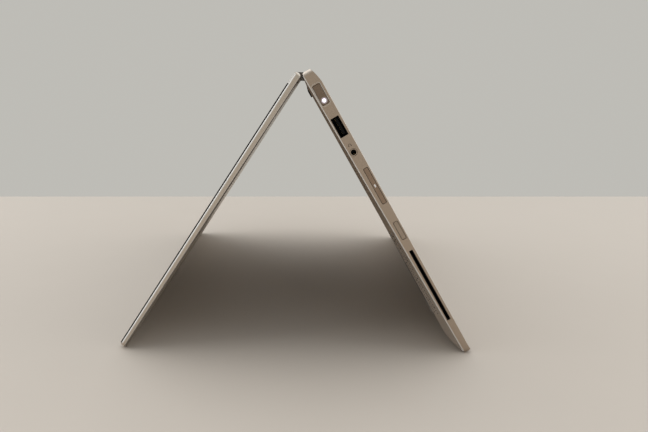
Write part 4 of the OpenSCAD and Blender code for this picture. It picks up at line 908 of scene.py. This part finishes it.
class LAPTOP_OT_trims(Maker, bpy.types.Operator):
    """Make the cut rims round the power button and the speaker holes, and the headphone mark"""
    bl_idname = "laptop.trims"
    bl_label = "Rims and Marks"

    def execute(self, context):
        shell = context.scene.laptop_shells
        cut = turned_metal("cut_rim_metal", tint(shell.polish, 0.85), roughness=0.22, streak=0.3,
                           depth=0.002, edge_round=0.05)
        side = BASE_PLACE @ SIDE_FACE
        piece("power_button_rim", self.button_rim(), side, "base", cut)
        piece("speaker_hole_rims", self.hole_rims(), BASE_PLACE, "base", cut)
        print_ink = satin_plastic("side_print", (0.10, 0.07, 0.05), grain=0.2, roughness=0.5,
                                  depth=0.002)
        piece("headphone_mark", self.headphones(), side, "base", print_ink)
        return {"FINISHED"}

    @staticmethod
    def button_rim():
        """The cut rim round the power button, drawn flat."""
        rim = bmesh.new()
        lo, hi = islands("power_button", BASE_PLACE)[0]
        lo, hi = Vector((lo.y, lo.z, 0)), Vector((hi.y, hi.z, 0))
        rings = [rounded_ring(rim, lo, hi, -reach, BUTTON_RIM_CORNER, up)
                 for reach, up in BUTTON_RIM]
        for low, high in zip(rings, rings[1:]):
            stitch(rim, low, high)
        return rim

    @staticmethod
    def hole_rims():
        """A cut rim in each speaker hole of both undercuts."""
        base_z, base_slope = crease_line("top_case", BASE_PLACE, min)
        foot_z = islands("rear_foot", BASE_PLACE)[0][1].z
        start = islands("top_case", BASE_PLACE)[0][0].y + GRILLE_AT
        rims = bmesh.new()
        for share, shift in GRILLE_ROWS:
            for k in range(GRILLE_COUNT):
                y = start + (k + shift) * GRILLE_PITCH
                crease = base_z + base_slope * y
                drop = share * (crease - foot_z)
                for hand in (1, -1):
                    at = (hand * (HALF_WIDTH - drop / math.tan(UNDERCUT)), y, crease - drop)
                    axis = (hand * math.sin(UNDERCUT), 0, -math.cos(UNDERCUT))
                    lathe(rims, HOLE_RIM, at, axis, steps=12)
        return rims

    @staticmethod
    def headphones():
        """A plain outline of headphones, drawn flat."""
        mark = bmesh.new()
        jack_lo, jack_hi = islands("audio_socket", BASE_PLACE)[0]
        x, y = (jack_lo.y + jack_hi.y) / 2 - MARK_AWAY, (jack_lo.z + jack_hi.z) / 2
        inner, outer = [], []
        for k in range(BAND_STEPS + 1):
            angle = math.radians(BAND_START + BAND_TURN * k / BAND_STEPS)
            for ring, radius in zip((inner, outer), BAND_RADII):
                ring.append(mark.verts.new((x - radius * math.sin(angle),
                                            y + radius * math.cos(angle), PRINT_UP)))
        for k in range(BAND_STEPS):
            mark.faces.new((inner[k], inner[k + 1], outer[k + 1], outer[k]))
        for across in (-PAD_AT, PAD_AT):
            lo = Vector((x - PAD_BACK, y + across - PAD_HALF, 0))
            hi = Vector((x + PAD_FRONT, y + across + PAD_HALF, 0))
            mark.faces.new(rounded_ring(mark, lo, hi, 0, PAD_CORNER, PRINT_UP))
        return mark


class LAPTOP_OT_sockets(Maker, bpy.types.Operator):
    """Finish the sockets, and add their contacts and the audio socket's ring"""
    bl_idname = "laptop.sockets"
    bl_label = "Sockets"

    def execute(self, context):
        black = satin_plastic("socket_plastic", (0.006, 0.006, 0.007), grain=0.15,
                              roughness=0.55, depth=0.01, edge_round=0.08, shine=0.15)
        paint(black, "card_reader", "power_inlet")
        shell = turned_metal("socket_shell", (0.014, 0.014, 0.015), roughness=0.5, streak=0.3)
        paint(shell, *TONGUES)
        gold = turned_metal("contact_gold", (0.55, 0.38, 0.14), roughness=0.35, streak=0.2,
                            depth=0.002)
        tongue_black = satin_plastic("tongue_plastic", (0.004, 0.0045, 0.009), grain=0.15,
                                     roughness=0.6, depth=0.01, edge_round=0.08, shine=0.12)
        for port, (thick, rise, count) in TONGUES.items():
            lo, hi = islands(port, BASE_PLACE)[0]
            side = 1 if lo.x > 0 else -1
            tip = max(hi.x, -lo.x) - TONGUE_BACK
            middle = (lo + hi) / 2 + Vector((0, 0, rise))
            width = (hi.y - lo.y) * TONGUE_SHARE
            tongue = bmesh.new()
            add_bar(tongue, (side * (tip - TONGUE_LENGTH / 2), middle.y, middle.z),
                    (TONGUE_LENGTH, width + TONGUE_SKIN, thick + TONGUE_SKIN))
            piece(port + "_tongue", tongue, BASE_PLACE, "base", tongue_black)
            contacts = bmesh.new()
            step = width * CONTACTS_SHARE / (count - 1)
            for k in range(count):
                add_bar(contacts, (side * (tip - CONTACT_BACK - CONTACT_LENGTH / 2),
                                   middle.y + (k - (count - 1) / 2) * step,
                                   middle.z - thick / 2 - CONTACT_DROP),
                        (CONTACT_LENGTH, step * CONTACT_SHARE, CONTACT_THICK))
            piece(port + "_contacts", contacts, BASE_PLACE, "base", gold)

        lo, hi = islands("audio_socket", BASE_PLACE)[0]
        at = Vector((hi.x, (lo.y + hi.y) / 2, (lo.z + hi.z) / 2))
        face = tint(context.scene.laptop_shells.base, 1.1)
        paint(self.audio_bore(at, face), "audio_socket")
        ring = bmesh.new()
        lathe(ring, AUDIO_RING, at, (1, 0, 0), steps=40)
        piece("audio_socket_ring", ring, BASE_PLACE, "base",
              turned_metal("ring_metal", face, roughness=0.3))
        spring = bmesh.new()
        add_bar(spring, at + SPRING_AT, SPRING_SIZE)
        piece("audio_socket_spring", spring, BASE_PLACE, "base", gold)
        return {"FINISHED"}

    @staticmethod
    def audio_bore(at, face):
        """Black plastic with a metal mouth."""
        bore = Finish("audio_socket_plastic")
        x, y, z = bore.split(bore.spot(BASE_PLACE))
        reach = (y - at.y) * (y - at.y) + (z - at.z) * (z - at.z)
        metal = reach.over(BORE_RADIUS ** 2, 0.3) * x.over(at.x - 0.3, 0.1)
        return bore.feed({"Base Color": bore.mix(metal, (0.004, 0.004, 0.004), face),
                          "Roughness": 0.45 - metal * 0.1, "Metallic": metal * 0.7,
                          "Normal": bore.soft_edges(0.1)})


class LAPTOP_OT_underside(Maker, bpy.types.Operator):
    """Finish the feet and the screws"""
    bl_idname = "laptop.underside"
    bl_label = "Feet and Screws"

    def execute(self, context):
        paint(satin_plastic("rear_foot_rubber", (0.05, 0.047, 0.043), grain=0.35,
                            roughness=0.75, depth=0.03, edge_round=0.4), "rear_foot")
        # The front foot is the same rubber as the rear one, made paler as painted light
        paint(satin_plastic("front_foot_rubber_painted_light", (0.27, 0.25, 0.225), grain=0.35,
                            roughness=0.7, depth=0.03, edge_round=0.4), "front_foot")
        paint(turned_metal("screw_steel", (0.42, 0.41, 0.40), roughness=0.28, streak=0.18),
              "bottom_screws", "base_hinge_screws", "lid_hinge_screws")
        return {"FINISHED"}


class LAPTOP_OT_hinges(Maker, bpy.types.Operator):
    """Finish the links, shafts and gears of the double hinges"""
    bl_idname = "laptop.hinges"
    bl_label = "Hinges"

    def execute(self, context):
        shell = context.scene.laptop_shells
        paint(turned_metal("link_metal", shell.links, roughness=0.2, streak=0.35, depth=0.003,
                           edge_round=0.25),
              "hinge_link_left", "hinge_link_right", "hinge_link_caps")
        paint(turned_metal("hinge_steel", (0.38, 0.37, 0.36), roughness=0.32),
              "base_hinge_left", "base_hinge_right", "lid_hinge_left", "lid_hinge_right")
        paint(turned_metal("gear_steel", (0.50, 0.44, 0.34), roughness=0.28, streak=0.15),
              "base_hinge_gears", "idler_gears_base_side", "idler_gears_lid_side",
              "lid_hinge_gears")
        return {"FINISHED"}


class LAPTOP_OT_inside(Maker, bpy.types.Operator):
    """Finish what the closed shells hold: boards, battery, fans, heat pipe and speakers"""
    bl_idname = "laptop.inside"
    bl_label = "Inner Pieces"

    def execute(self, context):
        board = Finish("circuit_board", {"Coat Weight": 0.3})
        spot = board.spot(BASE_PLACE)
        gap = board.node("TexVoronoi", {"feature": "DISTANCE_TO_EDGE"},
                         {"Vector": spot, "Scale": 0.7})
        track = gap.under(0.08, 0.04)
        pads = board.noise(spot, 1.4, 1, 0.4).over(0.68, 0.04)
        tone = board.mix(track, (0.012, 0.05, 0.03), (0.03, 0.10, 0.055))
        board.feed({"Base Color": board.mix(pads, tone, (0.55, 0.50, 0.38)),
                    "Roughness": 0.45 - pads * 0.15,
                    "Normal": board.bump(track, 0.02, board.soft_edges(0.1))})
        paint(board.material, "mainboard", "side_button_boards", "left_port_board",
              "right_port_board", "ssd", "wireless_card")
        paint(turned_metal("pipe_copper", (0.75, 0.40, 0.24), roughness=0.3, streak=0.3),
              "heat_pipe")
        paint(satin_plastic("fan_plastic", (0.018, 0.018, 0.019), grain=0.3, roughness=0.42),
              "fan_housing_left", "fan_housing_right", "fan_rotor_left", "fan_rotor_right")
        paint(satin_plastic("battery_wrap", (0.03, 0.032, 0.035), grain=1.2, roughness=0.5,
                            depth=0.05), "battery")
        paint(satin_plastic("speaker_plastic", (0.02, 0.02, 0.02), grain=0.3, roughness=0.6),
              "speaker_left", "speaker_right")
        paint(turned_metal("tray_steel", (0.20, 0.195, 0.19), roughness=0.4, streak=0.4),
              "keyboard_tray", "trackpad_bracket")
        return {"FINISHED"}


class LAPTOP_OT_stage(Maker, bpy.types.Operator):
    """Set the floor, the soft light and the camera"""
    bl_idname = "laptop.stage"
    bl_label = "Stage"

    def execute(self, context):
        scene = context.scene
        stage = scene.laptop_stage
        ground = bpy.data.objects.new("floor", self.floor_mesh(stage))
        scene.collection.objects.link(ground)
        scene.world = self.room(stage)
        for name, source, strength in (("window", WINDOW_FROM, stage.window),
                                       ("fill", FILL_FROM, stage.fill)):
            scene.collection.objects.link(self.lamp(name, source, strength, stage))
        scene.camera = self.camera(stage)
        scene.collection.objects.link(scene.camera)
        scene.view_settings.view_transform = "Standard"
        return {"FINISHED"}

    @staticmethod
    def floor_mesh(stage):
        """A plain pale floor, whose far edge runs slightly askew."""
        floor = bmesh.new()
        reach, far, skew = stage.floor_reach, stage.floor_far, math.tan(stage.floor_skew)
        corners = ((reach, -reach), (reach, reach), (far - reach * skew, reach),
                   (far + reach * skew, -reach))
        floor.faces.new([floor.verts.new((x, y, 0)) for x, y in corners])
        mesh = bpy.data.meshes.new("floor")
        floor.to_mesh(mesh)
        floor.free()
        surface = Finish("floor", {"Specular IOR Level": 0.25})
        cloud = surface.noise(surface.spot(), 60, 3, 0.5)
        tone = surface.mix(cloud, tint(stage.floor, 0.985), tint(stage.floor, 1.015))
        mesh.materials.append(surface.feed({"Base Color": tone,
                                            "Roughness": 0.62 + (cloud - 0.5) * 0.06}))
        return mesh

    @staticmethod
    def room(stage):
        """Daylight from all sides, with the backdrop's colour for what the eye sees of it."""
        world = bpy.data.worlds.new("room")
        room = Tree(world)
        room.tree.nodes.clear()
        ray = room.node("LightPath", output="Is Camera Ray")
        seen = ray.most(ray.out("Is Glossy Ray")).most(ray.out("Is Transmission Ray"))
        light = room.node("Background", sockets={"Color": stage.daylight, "Strength": stage.sky})
        shown = room.node("Background", sockets={"Color": stage.wall})
        both = room.node("MixShader", sockets={0: seen, 1: light, 2: shown})
        room.node("OutputWorld", sockets={"Surface": both})
        return world

    @staticmethod
    def lamp(name, source, strength, stage):
        """A very wide, soft lamp that shines from a source toward the origin."""
        lamp = bpy.data.lights.new(name, "SUN")
        lamp.angle = stage.softness
        lamp.energy = strength
        lamp.color = stage.daylight
        holder = bpy.data.objects.new(name, lamp)
        holder.location = source
        holder.rotation_euler = source.to_track_quat("Z", "Y").to_euler()
        return holder

    @staticmethod
    def camera(stage):
        """The camera, from its yaw, pitch and roll."""
        ahead = Vector((-math.cos(stage.pitch) * math.cos(stage.yaw),
                        math.cos(stage.pitch) * math.sin(stage.yaw), -math.sin(stage.pitch)))
        right = ahead.cross(Vector((0, 0, 1))).normalized()
        up = right.cross(ahead)
        turned_right = right * math.cos(stage.roll) + up * math.sin(stage.roll)
        turned_up = up * math.cos(stage.roll) - right * math.sin(stage.roll)
        turn = Matrix((turned_right, turned_up, -ahead)).transposed().to_4x4()
        camera = bpy.data.cameras.new("camera")
        camera.lens = stage.lens
        camera.sensor_width = SENSOR
        camera.clip_start = NEAREST
        holder = bpy.data.objects.new("camera", camera)
        holder.matrix_world = Matrix.Translation(Vector(stage.camera)) @ turn
        return holder


class LAPTOP_PT_panel(bpy.types.Panel):
    """Lists the laptop's finishes and sizes"""
    bl_idname = "LAPTOP_PT_panel"
    bl_label = "Laptop"
    bl_space_type = "VIEW_3D"
    bl_region_type = "UI"
    bl_category = "Laptop"

    def draw(self, context):
        layout = self.layout
        for group, makers in GROUPS.items():
            box = layout.box()
            settings = getattr(context.scene, group)
            for name in settings.bl_rna.properties.keys():
                if name not in ("rna_type", "name"):
                    box.prop(settings, name)
            for maker in makers:
                box.operator(maker.bl_idname)


GROUPS = {
    "laptop_shells": (LAPTOP_OT_shells, LAPTOP_OT_trackpad, LAPTOP_OT_buttons, LAPTOP_OT_trims,
                      LAPTOP_OT_sockets, LAPTOP_OT_underside, LAPTOP_OT_hinges,
                      LAPTOP_OT_inside, LAPTOP_OT_screen),
    "laptop_keys": (LAPTOP_OT_keys,),
    "laptop_stage": (LAPTOP_OT_stage,),
}
SETTINGS = {"laptop_shells": ShellColours, "laptop_keys": KeySizes, "laptop_stage": StageSizes}
CLASSES = [*SETTINGS.values(), *(maker for makers in GROUPS.values() for maker in makers),
           LAPTOP_PT_panel]


def register():
    for cls in CLASSES:
        bpy.utils.register_class(cls)
    for name, group in SETTINGS.items():
        setattr(bpy.types.Scene, name, PointerProperty(type=group))


def unregister():
    for name in SETTINGS:
        delattr(bpy.types.Scene, name)
    for cls in reversed(CLASSES):
        bpy.utils.unregister_class(cls)


def main():
    register()
    bpy.ops.laptop.shells()
    bpy.ops.laptop.keys()
    bpy.ops.laptop.trackpad()
    bpy.ops.laptop.screen()
    bpy.ops.laptop.buttons()
    bpy.ops.laptop.trims()
    bpy.ops.laptop.sockets()
    bpy.ops.laptop.underside()
    bpy.ops.laptop.hinges()
    bpy.ops.laptop.inside()
    bpy.ops.laptop.stage()


if __name__ == "__main__":
    main()
